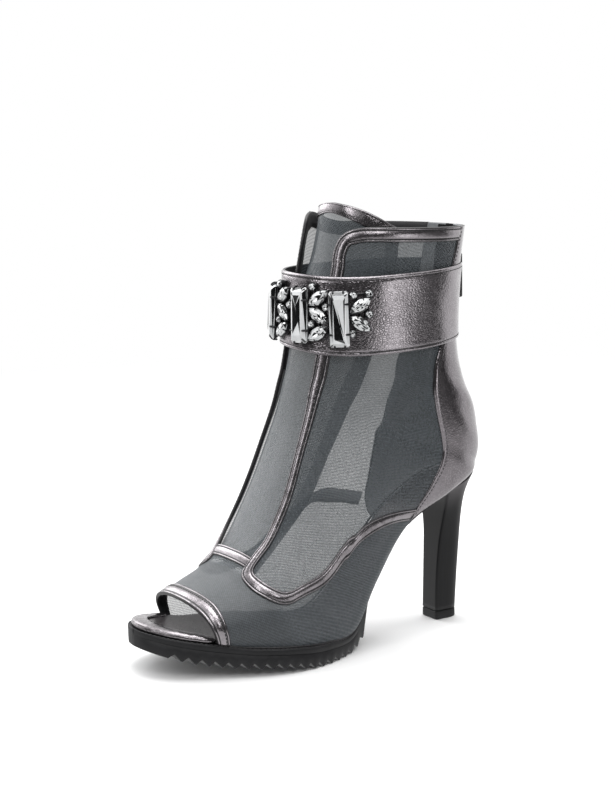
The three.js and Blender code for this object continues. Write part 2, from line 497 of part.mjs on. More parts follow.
// ---------------------------------------------------------------- zip at the back
// A point at the back, x mm from the back seam, d outwards.
function backPoint(u, x, d) {
  const side = x < 0 ? -1 : 1;
  return last(u, side * (Math.abs(x) < 1e-6 ? 1 : backColumn(u, Math.abs(x))), d);
}
function zipTape() {
  const us = [U_ZIP + 0.06, ...steps(11, 15.5, 9), 15.9], xs = steps(-1, 1, 6);
  const half = ZIP_HALF - GAP - 0.15;
  return sheet(grid(us, xs, (u, x) => backPoint(u, x * half, -0.25)), grid(us, xs, (u, x) => backPoint(u, x * half, -1.35)), () => true);
}
// Slider and pull stand square to the back seam: X across, Y up the seam, Z outwards.
const U_SLIDER = 15.62;
function zipFrame() {
  const a = new THREE.Vector3(...backPoint(U_SLIDER - 0.2, 0, 0)), b = new THREE.Vector3(...backPoint(U_SLIDER + 0.2, 0, 0));
  const up = b.clone().sub(a).normalize(), right = new THREE.Vector3(-1, 0, 0);
  const out = right.clone().cross(up);
  return new THREE.Matrix4().makeBasis(right, up, out).setPosition(new THREE.Vector3(...backPoint(U_SLIDER, 0, 0)));
}
// Plate with softened ends in the X-Y plane, from z0 to z1.
function plate(w, y0, y1, z0, z1, c = 1) {
  const o = [[-w / 2 + c, y0], [w / 2 - c, y0], [w / 2, y0 + c], [w / 2, y1 - c], [w / 2 - c, y1], [-w / 2 + c, y1], [-w / 2, y1 - c], [-w / 2, y0 + c]];
  return stack([z0, z1].map((z) => o.map(([x, y]) => [x, y, z])));
}
const solid = (g) => {
  const m = new wasm.Mesh({ numProp: 3, vertProperties: Float32Array.from(g.attributes.position.array), triVerts: Uint32Array.from(g.index.array) });
  m.merge();
  return new wasm.Manifold(m);
};
function geometry(man) {
  const m = man.getMesh(), g = new THREE.BufferGeometry(), n = m.numProp, v = [];
  for (let i = 0; i < m.numVert; i++) v.push(m.vertProperties[i * n], m.vertProperties[i * n + 1], m.vertProperties[i * n + 2]);
  g.setAttribute("position", new THREE.Float32BufferAttribute(v, 3));
  g.setIndex(Array.from(m.triVerts));
  return outward(g);
}
// Slider body with a lug on top, bored for the pull's pin.
const PIN_Z = 5, PIN_R = 0.85;
// The pull hangs plumb from the pin, whatever the slope of the seam.
function pullFrame() {
  const pin = new THREE.Vector3(0, 0, PIN_Z).applyMatrix4(zipFrame());
  return new THREE.Matrix4().makeBasis(new THREE.Vector3(-1, 0, 0), new THREE.Vector3(0, 0, 1), new THREE.Vector3(0, 1, 0)).setPosition(pin);
}
function ringX(r, y, z, x0, x1, n = 12) {
  return stack([x0, x1].map((x) => Array.from({ length: n }, (_, k) => [x, y + r * Math.cos((k * 2 * Math.PI) / n), z + r * Math.sin((k * 2 * Math.PI) / n)])));
}
function slider() {
  const body = solid(plate(7.4, -5, 5, 0.35, 1.9, 1.6));
  const ears = [-1, 1].map((s) => solid(stack([s * 2.1, s * 3.3].map((x) => [[x, -2.2, 1.8], [x, 2.2, 1.8], [x, 1.9, PIN_Z + 0.9], [x, 0.9, PIN_Z + 1.7], [x, -0.9, PIN_Z + 1.7], [x, -1.9, PIN_Z + 0.9]]))));
  const bore = solid(ringX(PIN_R + GAP, 0, PIN_Z, -4, 4, 16));
  return geometry(body.add(ears[0]).add(ears[1]).subtract(bore));
}
// Pull: a pin through the lug's ears, a narrow neck and a flat leather-covered tab.
function pull() {
  const pin = solid(ringX(PIN_R, 0, 0, -3.3, 3.3, 12));
  const neck = solid(plate(3.2, -9, 0.6, -0.7, 0.7, 0.4));
  const tab = solid(plate(7.4, -33, -7, -1.2, 1.2, 1.2));
  return geometry(pin.add(neck).add(tab));
}

// ---------------------------------------------------------------- assembly
const group = new THREE.Group();
const finish = {
  mesh: { color: 0x4d5459, roughness: 0.7, metalness: 0.1 },
  pewter: { color: 0x8d868c, roughness: 0.32, metalness: 0.85 },
  rubber: { color: 0x1c1c1e, roughness: 0.65, metalness: 0 },
  lacquer: { color: 0x161618, roughness: 0.35, metalness: 0 },
  metal: { color: 0x18181a, roughness: 0.4, metalness: 0.6 },
  crystal: { color: 0xe9edf0, roughness: 0.05, metalness: 0.1 },
};
function add(name, geometry, kind, matrix) {
  const mesh = new THREE.Mesh(geometry, new THREE.MeshStandardMaterial(finish[kind]));
  mesh.name = name;
  if (matrix) mesh.applyMatrix4(matrix);
  group.add(mesh);
  return mesh;
}

add("upper", upper(), "mesh");
add("tongue", tongue(), "mesh");
add("insole", insole(), "pewter");
add("outsole", outsole(), "rubber");
add("heel", heel(), "lacquer");
add("heel_tip", heelTip(), "rubber");
add("strap", strap(), "pewter");
add("setting", setting(), "metal");
add("zip_tape", zipTape(), "mesh");
add("zip_slider", slider(), "metal", zipFrame());
add("zip_pull", pull(), "lacquer", pullFrame());
const count = {};
for (const s of STONES) {
  count[s.kind] = (count[s.kind] || 0) + 1;
  const cut = CUT[s.kind];
  const m = strapFrame(s.h, s.v, STONE_LIFT).multiply(new THREE.Matrix4().makeRotationZ((s.turn * Math.PI) / 180));
  add(s.kind + "_" + count[s.kind], stone(cut.outline, cut.levels), "crystal", m);
}

export default group;
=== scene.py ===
"""Looks of the open-toe ankle boot: sheer mesh panels, pewter leather trims, a strap set with
cut crystals, a lugged platform and a slim covered heel. Sizes are in millimetres here and are
turned into metres when a mesh is made."""
import bpy
import math
import numpy as np
from mathutils import Matrix, Vector


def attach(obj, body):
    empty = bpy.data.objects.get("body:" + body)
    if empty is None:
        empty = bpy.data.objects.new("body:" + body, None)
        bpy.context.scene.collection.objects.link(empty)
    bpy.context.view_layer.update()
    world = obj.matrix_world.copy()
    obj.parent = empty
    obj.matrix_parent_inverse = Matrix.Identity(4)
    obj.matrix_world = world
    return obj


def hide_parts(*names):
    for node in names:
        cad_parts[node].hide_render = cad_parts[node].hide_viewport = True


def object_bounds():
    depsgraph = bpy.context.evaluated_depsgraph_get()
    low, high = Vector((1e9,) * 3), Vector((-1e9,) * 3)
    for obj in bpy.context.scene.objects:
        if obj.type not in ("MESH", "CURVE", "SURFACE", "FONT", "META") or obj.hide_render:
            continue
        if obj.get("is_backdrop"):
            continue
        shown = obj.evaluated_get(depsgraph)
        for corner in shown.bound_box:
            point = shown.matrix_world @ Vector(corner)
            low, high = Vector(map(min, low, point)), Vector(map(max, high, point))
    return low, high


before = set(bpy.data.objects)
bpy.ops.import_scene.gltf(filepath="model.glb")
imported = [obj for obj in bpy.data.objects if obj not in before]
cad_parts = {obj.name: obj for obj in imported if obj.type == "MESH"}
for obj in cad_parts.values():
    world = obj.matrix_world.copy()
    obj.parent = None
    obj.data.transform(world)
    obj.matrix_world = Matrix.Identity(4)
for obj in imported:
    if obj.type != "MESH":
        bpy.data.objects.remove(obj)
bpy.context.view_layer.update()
MM = 0.001

# ------------------------------------------------------------------ the last, as in the solid model
COLS = "ty tz by bz xt xb wl wm tw fl fm nt nb".split()
SECTIONS = np.array([
    [-173.2, 39.1, -166.6, 18.9, -5, -4, 34, 33.5, 0.72, 32, 32.5, 2.3, 2.2],
    [-160.1, 44.9, -149.7, 16.2, -5, -2, 39, 37.5, 0.72, 37.5, 36.5, 2.4, 2.2],
    [-145.9, 52.1, -127.7, 14.3, -4, 0, 42, 40, 0.71, 42, 39.5, 2.6, 2.2],
    [-135.6, 67.4, -103.7, 12.0, -3, 1, 40.5, 38, 0.67, 38.5, 34.5, 2.8, 2.2],
    [-126.7, 85.2, -80.0, 12.8, -3, 1, 37.5, 36, 0.64, 28.1, 25.5, 2.8, 2.2],
    [-118.9, 102.5, -60.1, 35.9, -2, 1, 36, 35, 0.58, 18, 17, 2.75, 2.2],
    [-112.0, 120.4, -37.7, 63.4, -1, 0.7, 35, 34.5, 0.53, 15.5, 15, 2.7, 2.2],
    [-106.6, 137.8, -10.4, 79.8, 0, 0.3, 34.5, 34, 0.51, 20.5, 18.5, 2.6, 2.2],
    [-103.4, 150.2, 10.2, 88.6, 0, 0, 34, 33.5, 0.51, 15, 14.5, 2.6, 2.2],
    [-100.7, 159.6, 20.2, 93.2, 0, 0, 34, 33.5, 0.51, 0, 0, 2.6, 2.2],
    [-98.5, 169.6, 21.8, 109.6, 0, 0, 34.5, 34, 0.5, 0, 0, 2.55, 2.2],
    [-96.3, 179.6, 17.7, 128.7, 0, 0, 35, 34.5, 0.5, 0, 0, 2.5, 2.15],
    [-94.1, 189.0, 9.6, 146.8, 0, 0, 35.5, 35, 0.5, 0, 0, 2.4, 2.1],
    [-91.8, 199.0, 5.5, 165.9, 0, 0, 36, 35.5, 0.5, 0, 0, 2.35, 2.1],
    [-89.6, 209.9, 5.4, 187.9, 0, 0, 36.5, 36, 0.5, 0, 0, 2.3, 2.1],
    [-86.9, 221.9, 7.4, 209.9, 0, 0, 37, 36.5, 0.5, 0, 0, 2.25, 2.1],
    [-83.5, 237.8, 10.9, 233.8, 0, 0, 37.5, 37, 0.5, 0, 0, 2.2, 2.1],
])
SPLIT = 0.56
THROAT = np.array([
    [0, 0.125], [2.6, 0.125], [3.3, 0.155], [4, 0.168], [5, 0.172], [6, 0.163], [7, 0.153], [8.6, 0.145],
    [10, 0.145], [12, 0.15], [14.5, 0.158], [15.1, 0.16], [15.5, 0.175], [15.8, 0.205], [16, 0.26],
])
BOARD = np.array([
    [-198.2, -5.6, -5.4], [-198, -8.4, -2.8], [-197.4, -11.6, 0.4], [-196.4, -15, 3.4], [-194.6, -19, 6.8],
    [-192, -23, 10.5], [-189, -26.2, 13.8], [-186, -28.4, 16.5], [-182, -30.6, 19.2], [-178, -32.3, 21.5],
    [-168, -35.8, 26.8], [-157, -38.2, 32.4], [-145, -39.8, 38.2], [-131, -39.8, 42.4], [-117, -37.6, 42.8],
    [-102, -33, 39], [-90, -28.6, 34], [-80, -24.5, 29.1], [-70, -19.8, 23.4], [-59.5, -16, 19],
    [-48, -14.2, 16.6], [-36.7, -14.3, 16.2], [-24, -16, 18.3], [-10.4, -18.2, 20.8], [0, -18, 19.6],
    [8, -15.4, 16], [13, -11, 11.5], [17, -5.5, 5.5],
])
TOE_SPRING = [[-204, 26.8], [-197.5, 25.2], [-189.6, 23.4], [-179.6, 21.3]]
TREAD = np.array([
    [-204, 17.6], [-200.8, 16.2], [-191.5, 12.9], [-183.6, 10.4], [-177.7, 8.9], [-171.3, 7.6], [-165, 6.6],
    [-159, 5.8], [-153.5, 5.2], [-147.8, 4.7], [-141.9, 4.2], [-136, 3.6], [-130.4, 2.9], [-124, 2], [-118, 1.1],
    [-112.4, 0.25], [-110, 0], [-84.6, 0], [-81, 0.7], [-75.5, 2.4], [-70.6, 5.2],
])
BREAST = np.array([
    [-69.6, 9], [-68.4, 14], [-66.8, 20.4], [-64.6, 27.1], [-61, 32.6], [-56, 39], [-50, 47.5], [-44, 54.6],
    [-37, 61.9], [-30, 67.6], [-23, 72.2], [-16, 75.7], [-9.6, 78.6],
])
# front y z, back y z, half width, roundness of the back
HEEL = np.array([
    [-7.4, 5.7, 9.3, 5.7, 7.3, 2.7], [-6.9, 24, 10.7, 24, 7.4, 2.6], [-5.9, 42, 12.1, 43, 8.2, 2.5],
    [-5.0, 53, 12.8, 55, 9.3, 2.4], [-4.4, 63, 13.4, 67, 11.4, 2.3], [-4.8, 71, 14.2, 77, 14.4, 2.25],
    [-6.4, 77, 16.0, 84.6, 17.6, 2.2], [-8.6, 80.1, 19.2, 91.2, 20.2, 2.1],
])
STRAP = [dict(fy=-99.7, fz=167.7, by=6.0, bz=171.0, wl=37.6, wm=36.8, n=2.2, nb=2.08),
         dict(fy=-97.2, fz=208.6, by=8.4, bz=212.8, wl=38.6, wm=38.0, n=2.2, nb=2.08)]
STRAP_EDGE = np.array([
    [-1, 0.8, 0.5], [-0.6, 0, 1.5], [-0.3, 2.6, 3.4], [-0.1, 3.9, 4.2], [0, 3.4, 4.1], [0.1, 1.9, 3.4],
    [0.2, 0.2, 2.3], [0.3, -0.7, 1.6], [0.5, -1.1, 1.2], [0.75, -0.3, 0.7], [1, 0.8, 0.5],
])
STRAP_T, SET_BASE, GAP, WALL = 2.0, 1.5, 0.3, 1.6


def lerp(a, b, t):
    return a + (b - a) * t


def smooth(t):
    t = np.clip(t, 0.0, 1.0)
    return t * t * (3 - 2 * t)


def section(u):
    u = np.asarray(u, float)
    i = np.clip(np.floor(u).astype(int), 0, len(SECTIONS) - 2)
    f = (u - i)[..., None]
    ext = np.vstack([2 * SECTIONS[0] - SECTIONS[1], SECTIONS, 2 * SECTIONS[-1] - SECTIONS[-2]])
    p0, p1, p2, p3 = ext[i], ext[i + 1], ext[i + 2], ext[i + 3]
    out = 0.5 * (2 * p1 + (p2 - p0) * f + (2 * p0 - 5 * p1 + 4 * p2 - p3) * f * f + (3 * p1 - p0 - 3 * p2 + p3) * f ** 3)
    return dict(zip(COLS, np.moveaxis(out, -1, 0)))


def last(u, v, d=0.0):
    """Points of the last: u along the boot, v round it, d outwards."""
    u, v, d = np.broadcast_arrays(np.asarray(u, float), np.asarray(v, float), np.asarray(d, float))
    s = section(u)
    ey, ez = s["by"] - s["ty"], s["bz"] - s["tz"]
    n = np.hypot(ey, ez)
    ring = smooth(u - 8)
    ty, tz = s["ty"] - d * ey / n, s["tz"] - d * ez / n
    by, bz = s["by"] + d * ring * ey / n, s["bz"] + d * ring * ez / n
    lateral = v >= 0
    w0 = np.where(lateral, s["wl"], s["wm"])
    w = w0 + d
    f = np.where(u >= 9, 0.0, np.maximum(0.0, np.where(lateral, s["fl"], s["fm"])) * w / w0)
    a = np.abs(v)
    th = np.clip(a / SPLIT, 0, 1) * math.pi / 2
    x1 = w * np.sin(th) ** (2 / s["nt"])
    t1 = s["tw"] * (1 - np.maximum(0, np.cos(th)) ** (2 / s["nt"]))
    ph = np.clip((a - SPLIT) / (1 - SPLIT), 0, 1) * math.pi / 2
    x2 = f + (w - f) * np.maximum(0, np.cos(ph)) ** (2 / s["nb"])
    t2 = s["tw"] + (1 - s["tw"]) * np.sin(ph) ** (2 / s["nb"])
    x = np.where(a <= SPLIT, x1, x2)
    t = np.where(a <= SPLIT, t1, t2)
    x = np.where(a >= 1, f, x)
    t = np.where(a >= 1, 1.0, t)
    return np.stack([np.where(lateral, x, -x) + lerp(s["xt"], s["xb"], t), lerp(ty, by, t), lerp(tz, bz, t)], -1)


def climb(u, v):
    """The collar rises towards the front of its medial side."""
    return 0.42 * smooth((u - 14.2) / 1.8) * smooth((-v - 0.02) / 0.12) * (1 - smooth((-v - 0.24) / 0.3))


def shell(u, v, d=0.0):
    u = np.asarray(u, float)
    return last(u + climb(u, np.asarray(v, float)), v, d)


def back_column(u, half):
    s = section(u)
    ph = np.arccos(np.minimum(1, (half / s["wl"]) ** (s["nb"] / 2)))
    return SPLIT + (1 - SPLIT) * ph / (math.pi / 2)


def back_point(u, x, d):
    """A point at the back, x mm from the back seam."""
    u, x = np.broadcast_arrays(np.asarray(u, float), np.asarray(x, float))
    v = np.where(np.abs(x) < 1e-6, 1.0, back_column(u, np.maximum(np.abs(x), 1e-6)))
    return last(u, np.where(x < 0, -v, v), d)


def eased(rows, col, x, r):
    rows = np.asarray(rows, float)
    x = np.asarray(x, float)
    return sum(np.interp(x + k * r / 2, rows[:, 0], rows[:, col]) for k in (-2, -1, 0, 1, 2)) / 5


def throat(u):
    u = np.asarray(u, float)
    wide = (u > 2.8) & (u < 15)
    return np.where(wide, eased(THROAT, 1, u, 0.5), eased(THROAT, 1, u, 0.05))


_s = section(np.arange(0, 8.81, 0.1))
BOTTOM = np.vstack([TOE_SPRING, np.stack([_s["by"], _s["bz"]], -1)])


def board_z(y):
    return np.interp(y, BOTTOM[:, 0], BOTTOM[:, 1])


def tread_z(y):
    return np.interp(y, TREAD[:, 0], TREAD[:, 1])


# ------------------------------------------------------------------ meshes
def make(name, verts, faces, mats, index=None, uv=None, attrs=None, flat=False, body="boot", slot=None, replaces=()):
    """An object from points in mm, lists of faces, their material numbers and uv in mm for each corner."""
    me = bpy.data.meshes.new(name)
    verts = np.asarray(verts, float).reshape(-1, 3) * MM
    me.from_pydata(verts.tolist(), [], [list(map(int, f)) for f in faces])
    for m in mats:
        me.materials.append(m)
    if index is not None:
        me.polygons.foreach_set("material_index", np.asarray(index, np.int32))
    me.polygons.foreach_set("use_smooth", np.full(len(me.polygons), not flat))
    if uv is not None:
        layer = me.uv_layers.new(name="UVMap")
        layer.data.foreach_set("uv", (np.asarray(uv, float) * 0.001).astype(np.float32).ravel())
    for key, (domain, values) in (attrs or {}).items():
        at = me.attributes.new(key, "FLOAT", domain)
        at.data.foreach_set("value", np.asarray(values, np.float32))
    me.validate()
    me.update()
    ob = bpy.data.objects.new(name, me)
    bpy.context.scene.collection.objects.link(ob)
    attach(ob, body)
    if replaces:
        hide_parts(*replaces)
    return ob


def grid_faces(ni, nj, closed=False, keep=None):
    """Quads of an ni x nj grid of points, and for each quad its row and column."""
    cols = nj if closed else nj - 1
    i, j = np.meshgrid(np.arange(ni - 1), np.arange(cols), indexing="ij")
    i, j = i.ravel(), j.ravel()
    if keep is not None:
        k = keep(i, j)
        i, j = i[k], j[k]
    j2 = (j + 1) % nj
    return np.stack([i * nj + j, i * nj + j2, (i + 1) * nj + j2, (i + 1) * nj + j], -1), i, j


def grid_uv(P, i, j, closed=False, centre=None):
    """uv in mm along the grid: u round each row from its centre, v along the columns."""
    Q = np.concatenate([P, P[:, :1]], 1) if closed else P
    du = np.linalg.norm(np.diff(Q, axis=1), axis=2)
    U = np.concatenate([np.zeros((len(Q), 1)), np.cumsum(du, 1)], 1)
    if centre is not None:
        U = U - U[:, centre:centre + 1]
    dv = np.linalg.norm(np.diff(Q, axis=0), axis=2)
    V = np.concatenate([np.zeros((1, Q.shape[1])), np.cumsum(dv, 0)], 0)
    uv = np.stack([U, V], -1)
    return np.stack([uv[i, j], uv[i, j + 1], uv[i + 1, j + 1], uv[i + 1, j]], 1).reshape(-1, 2)


class Joined:
    """Many small bodies joined into one mesh."""

    def __init__(self):
        self.v, self.f, self.m, self.n = [], [], [], 0

    def add(self, verts, faces, mat=0):
        verts = np.asarray(verts, float).reshape(-1, 3)
        self.v.append(verts)
        self.f += [[int(a) + self.n for a in f] for f in faces]
        self.m += [mat] * len(faces)
        self.n += len(verts)

    def object(self, name, mats, **kw):
        return make(name, np.concatenate(self.v), self.f, mats, index=self.m, **kw)


def unit(a):
    a = np.asarray(a, float)
    return a / np.maximum(np.linalg.norm(a, axis=-1, keepdims=True), 1e-12)


def loft(loops, cap=True):
    """Closed loops joined one to the next, with fans at both ends."""
    loops = [np.asarray(l, float) for l in loops]
    n = len(loops[0])
    f, _, _ = grid_faces(len(loops), n, closed=True)
    v = np.concatenate(loops)
    faces = [list(q) for q in f]
    if cap:
        v = np.concatenate([v, [loops[0].mean(0)], [loops[-1].mean(0)]])
        a, b, o = len(v) - 2, len(v) - 1, (len(loops) - 1) * n
        faces += [[a, (k + 1) % n, k] for k in range(n)] + [[b, o + k, o + (k + 1) % n] for k in range(n)]
    return v, faces


def tube(points, radius, n=8, up=None, flatten=1.0, taper=0.35):
    """A round bar along points, closed and rounded at both ends."""
    p = np.asarray(points, float)
    t = unit(np.gradient(p, axis=0))
    ref = np.array([0, 0, 1.0]) if up is None else np.asarray(up, float)
    side = unit(np.cross(t, ref))
    top = np.cross(side, t)
    r = np.full(len(p), float(radius)) if np.isscalar(radius) else np.asarray(radius, float)
    ends = [p[0] - t[0] * r[0] * 0.6, *p, p[-1] + t[-1] * r[-1] * 0.6]
    rr = [r[0] * taper, *r, r[-1] * taper]
    sd = [side[0], *side, side[-1]]
    tp = [top[0], *top, top[-1]]
    a = np.arange(n) * 2 * math.pi / n
    loops = [c + q * (np.outer(np.cos(a), s) + flatten * np.outer(np.sin(a), o)) for c, q, s, o in zip(ends, rr, sd, tp)]
    return loft(loops)


def catmull_path(P, per=6):
    """A smooth curve through rows of P, with `per` steps in each span."""
    P = np.asarray(P, float)
    ext = np.vstack([2 * P[0] - P[1], P, 2 * P[-1] - P[-2]])
    out = []
    for k in range(len(P) - 1):
        p0, p1, p2, p3 = ext[k:k + 4]
        f = np.arange(per)[:, None] / per
        out.append(0.5 * (2 * p1 + (p2 - p0) * f + (2 * p0 - 5 * p1 + 4 * p2 - p3) * f ** 2 + (3 * p1 - p0 - 3 * p2 + p3) * f ** 3))
    return np.vstack([*out, P[-1:]])


def resample(P, step, key=None):
    """Rows of P at even steps along the length of key (P itself by default)."""
    K = P if key is None else key
    s = np.concatenate([[0], np.cumsum(np.linalg.norm(np.diff(K, axis=0), axis=1))])
    n = max(2, int(round(s[-1] / step)) + 1)
    t = np.linspace(0, s[-1], n)
    return np.stack([np.interp(t, s, P[:, c]) for c in range(P.shape[1])], -1)


STITCHES = Joined()
WELT_STITCHES = Joined()


def stitch_row(P, N, pitch=2.3, length=1.55, radius=0.26, lift=0.06, to=None, skip=0.0):
    """Threads laid in a row along P, with N the outward direction at each point."""
    to = STITCHES if to is None else to
    both = resample(np.hstack([P, N]), 0.35, key=P)
    s = np.concatenate([[0], np.cumsum(np.linalg.norm(np.diff(both[:, :3], axis=0), axis=1))])
    at = lambda x: np.array([np.interp(x, s, both[:, c]) for c in range(6)])
    k = skip + pitch * 0.5
    while k + length / 2 < s[-1] - skip:
        row = [at(k + length * q) for q in (-0.5, -0.2, 0.2, 0.5)]
        bow = [-0.12, lift, lift, -0.12]
        pts = [r[:3] + unit(r[3:]) * b for r, b in zip(row, bow)]
        v, f = tube(pts, radius, n=6, up=unit(row[1][3:]), flatten=0.75)
        to.add(v, f)
        k += pitch


# ------------------------------------------------------------------ materials
class Mat:
    def __init__(self, name):
        self.m = bpy.data.materials.new(name)
        self.m.use_nodes = True
        self.t = self.m.node_tree
        self.p = next(n for n in self.t.nodes if n.type == "BSDF_PRINCIPLED")

    def node(self, kind, props=None, **inputs):
        n = self.t.nodes.new(kind)
        for k, v in (props or {}).items():
            setattr(n, k, v)
        for k, v in inputs.items():
            self.put(n.inputs[k.replace("_", " ")], v)
        return n

    def put(self, socket, v):
        if isinstance(v, bpy.types.NodeSocket):
            self.t.links.new(v, socket)
        elif isinstance(v, (tuple, list)) and len(v) == 3 and socket.type == "RGBA":
            socket.default_value = (*v, 1)
        else:
            socket.default_value = v

    def set(self, **inputs):
        for k, v in inputs.items():
            self.put(self.p.inputs[k.replace("_", " ")], v)

    def coords(self, kind="Object", scale=(1, 1, 1), turn=(0, 0, 0), shift=(0, 0, 0)):
        c = self.node("ShaderNodeTexCoord").outputs[kind]
        return self.node("ShaderNodeMapping", Vector=c, Scale=scale, Rotation=turn, Location=shift).outputs[0]

    def noise(self, vec, scale, detail=2.0, rough=0.5, distortion=0.0, out=0):
        return self.node("ShaderNodeTexNoise", Vector=vec, Scale=scale, Detail=detail, Roughness=rough, Distortion=distortion).outputs[out]

    def voronoi(self, vec, scale, feature="F1", out="Distance", random=1.0):
        return self.node("ShaderNodeTexVoronoi", dict(feature=feature), Vector=vec, Scale=scale, Randomness=random).outputs[out]

    def math(self, op, a, b=0.5, clamp=False):
        n = self.node("ShaderNodeMath", dict(operation=op, use_clamp=clamp))
        self.put(n.inputs[0], a)
        if len(n.inputs) > 1:
            self.put(n.inputs[1], b)
        return n.outputs[0]

    def range(self, v, a, b, c=0.0, d=1.0, soft=False):
        n = self.node("ShaderNodeMapRange", dict(clamp=True, interpolation_type="SMOOTHSTEP" if soft else "LINEAR"))
        for s, x in zip(n.inputs[:5], (v, a, b, c, d)):
            self.put(s, x)
        return n.outputs[0]

    def mix(self, f, a, b, mode="MIX"):
        n = self.node("ShaderNodeMix", dict(data_type="RGBA", blend_type=mode))
        self.put(n.inputs[0], f)
        self.put(n.inputs[6], a)
        self.put(n.inputs[7], b)
        return n.outputs[2]

    def bump(self, height, distance, strength=1.0, normal=None):
        n = self.node("ShaderNodeBump", Height=height, Distance=distance, Strength=strength)
        if normal is not None:
            self.put(n.inputs["Normal"], normal)
        return n.outputs[0]

    def add3(self, a, b, k):
        """a + b * k for two vectors."""
        n = self.node("ShaderNodeVectorMath", dict(operation="MULTIPLY_ADD"))
        self.put(n.inputs[0], b)
        n.inputs[1].default_value = (k, k, k)
        self.put(n.inputs[2], a)
        return n.outputs[0]


def pewter(name, grain=(650, 650, 900), depth=0.00012, light=(0.36, 0.335, 0.352), dark=(0.05, 0.045, 0.05),
           blot=(40, 40, 70), rough=0.26, creases=0.5, smudge=0.5, pit=0.5):
    """Metal-foiled leather: pebble grain with darker valleys, dark rubbed smudges and soft large creases."""
    m = Mat(name)
    c = m.coords()
    warped = m.add3(m.add3(c, m.noise(c, 240, 2, out=1), 0.0022), m.noise(c, 900, 2, out=1), 0.0006)
    g = m.node("ShaderNodeMapping", Vector=warped, Scale=grain).outputs[0]
    pebble = m.range(m.voronoi(g, 1.0, feature="DISTANCE_TO_EDGE"), 0.0, 0.3, 0.0, 1.0, True)
    fine = m.noise(g, 2.4, 3, 0.6)
    big = m.noise(m.node("ShaderNodeMapping", Vector=c, Scale=blot).outputs[0], 1.0, 4, 0.6, 0.8)
    worn = m.range(big, 0.46, 0.66, 0.0, 1.0, True)
    valley = m.math("MULTIPLY", m.math("SUBTRACT", 1.0, pebble), m.range(big, 0.35, 0.65, pit * 0.35, pit))
    stain = m.math("MULTIPLY", m.math("MULTIPLY", worn, m.range(fine, 0.42, 0.6, 0.15, 1.0, True)), smudge)
    darken = m.math("MAXIMUM", valley, stain)
    tone = m.mix(m.noise(c, 95, 3), light, [x * 0.8 for x in light])
    m.set(Base_Color=m.mix(darken, tone, dark), Metallic=0.92,
          Roughness=m.range(m.math("ADD", darken, fine), 0.3, 1.3, rough * 0.85, rough * 1.35))
    h = m.math("ADD", m.math("MULTIPLY", pebble, 0.8), m.math("MULTIPLY", fine, 0.4))
    n1 = m.bump(big, 0.0011 * creases, 0.8)
    m.set(Normal=m.bump(h, depth, 0.85, n1))
    m.p.inputs["Specular IOR Level"].default_value = 0.5
    return m.m


def plain_noise(name, a, b, rough, scale=600, depth=0.00008, metallic=0.0, detail=3, coat=0.0, spec=0.5):
    """A soft two-tone finish with fine relief, for rubber, lining and painted edges."""
    m = Mat(name)
    c = m.coords()
    n = m.noise(c, scale, detail, 0.6)
    big = m.noise(c, scale / 14, 3, 0.5)
    m.set(Base_Color=m.mix(m.range(m.math("ADD", n, big), 0.7, 1.3), a, b), Metallic=metallic,
          Roughness=m.range(n, 0.3, 0.7, rough * 0.88, min(1, rough * 1.12)), Normal=m.bump(n, depth, 0.7))
    m.p.inputs["Coat Weight"].default_value = coat
    m.p.inputs["Coat Roughness"].default_value = 0.25
    m.p.inputs["Specular IOR Level"].default_value = spec
    return m.m


def sheer(name, thread=(0.05, 0.059, 0.067), shine=(0.105, 0.12, 0.132), open_low=0.49, open_high=0.69):
    """Fine net: two thread systems on the bias over the cloth's own uv, drawn closer where `dense` is 1."""
    m = Mat(name)
    uv = m.coords("UV")
    c = m.coords()
    warped = m.add3(uv, m.noise(c, 26, 1, out=1), 0.0004)
    lines = []
    for turn in (0.82, -0.74):
        r = m.node("ShaderNodeMapping", Vector=warped, Rotation=(0, 0, turn), Scale=(1, 1, 1)).outputs[0]
        x = m.node("ShaderNodeSeparateXYZ", Vector=r).outputs[0]
        s = m.math("SINE", m.math("MULTIPLY", x, 2 * math.pi / 0.00116))
        lines.append(m.range(s, -0.35, 0.8, 0.0, 1.0, True))
    weave = m.math("MAXIMUM", lines[0], lines[1])
    # slow beating where one net is seen through another
    r = m.node("ShaderNodeMapping", Vector=m.add3(uv, m.noise(c, 30, 2, out=1), 0.006), Rotation=(0, 0, 0.12)).outputs[0]
    beat = m.math("SINE", m.math("MULTIPLY", m.node("ShaderNodeSeparateXYZ", Vector=r).outputs[1], 2 * math.pi / 0.0026))
    beat = m.range(beat, -1, 1, -0.014, 0.014)
    cloud = m.range(m.noise(c, 30, 3), 0.3, 0.7, -0.035, 0.035)
    a = m.math("ADD", m.math("ADD", m.range(weave, 0, 1, open_low, open_high), beat), cloud)
    dense = m.node("ShaderNodeAttribute", dict(attribute_name="dense", attribute_type="GEOMETRY")).outputs["Fac"]
    keep = m.math("MULTIPLY", m.math("SUBTRACT", 1.0, a), m.math("SUBTRACT", 1.0, m.math("MULTIPLY", dense, 0.8)))
    alpha = m.math("SUBTRACT", 1.0, keep, clamp=True)
    cloth = m.mix(m.math("MULTIPLY", weave, m.range(m.noise(c, 700, 2), 0.35, 0.65, 0.25, 1.0)), thread, shine)
    # painted shade: where `dense` is high, on the doubled net and along the folds' painted shade, the thread colour is
    # drawn darker
    cloth = m.mix(m.range(dense, 0.62, 0.95, 0.0, 0.5), cloth, (0.012, 0.013, 0.015))
    m.set(Base_Color=cloth, Alpha=alpha, Roughness=m.range(weave, 0, 1, 0.66, 0.5), Normal=m.bump(weave, 0.00003, 0.4))
    m.p.inputs["Sheen Weight"].default_value = 0.08
    m.p.inputs["Sheen Roughness"].default_value = 0.4
    m.p.inputs["Sheen Tint"].default_value = (0.75, 0.82, 0.88, 1)
    return m.m


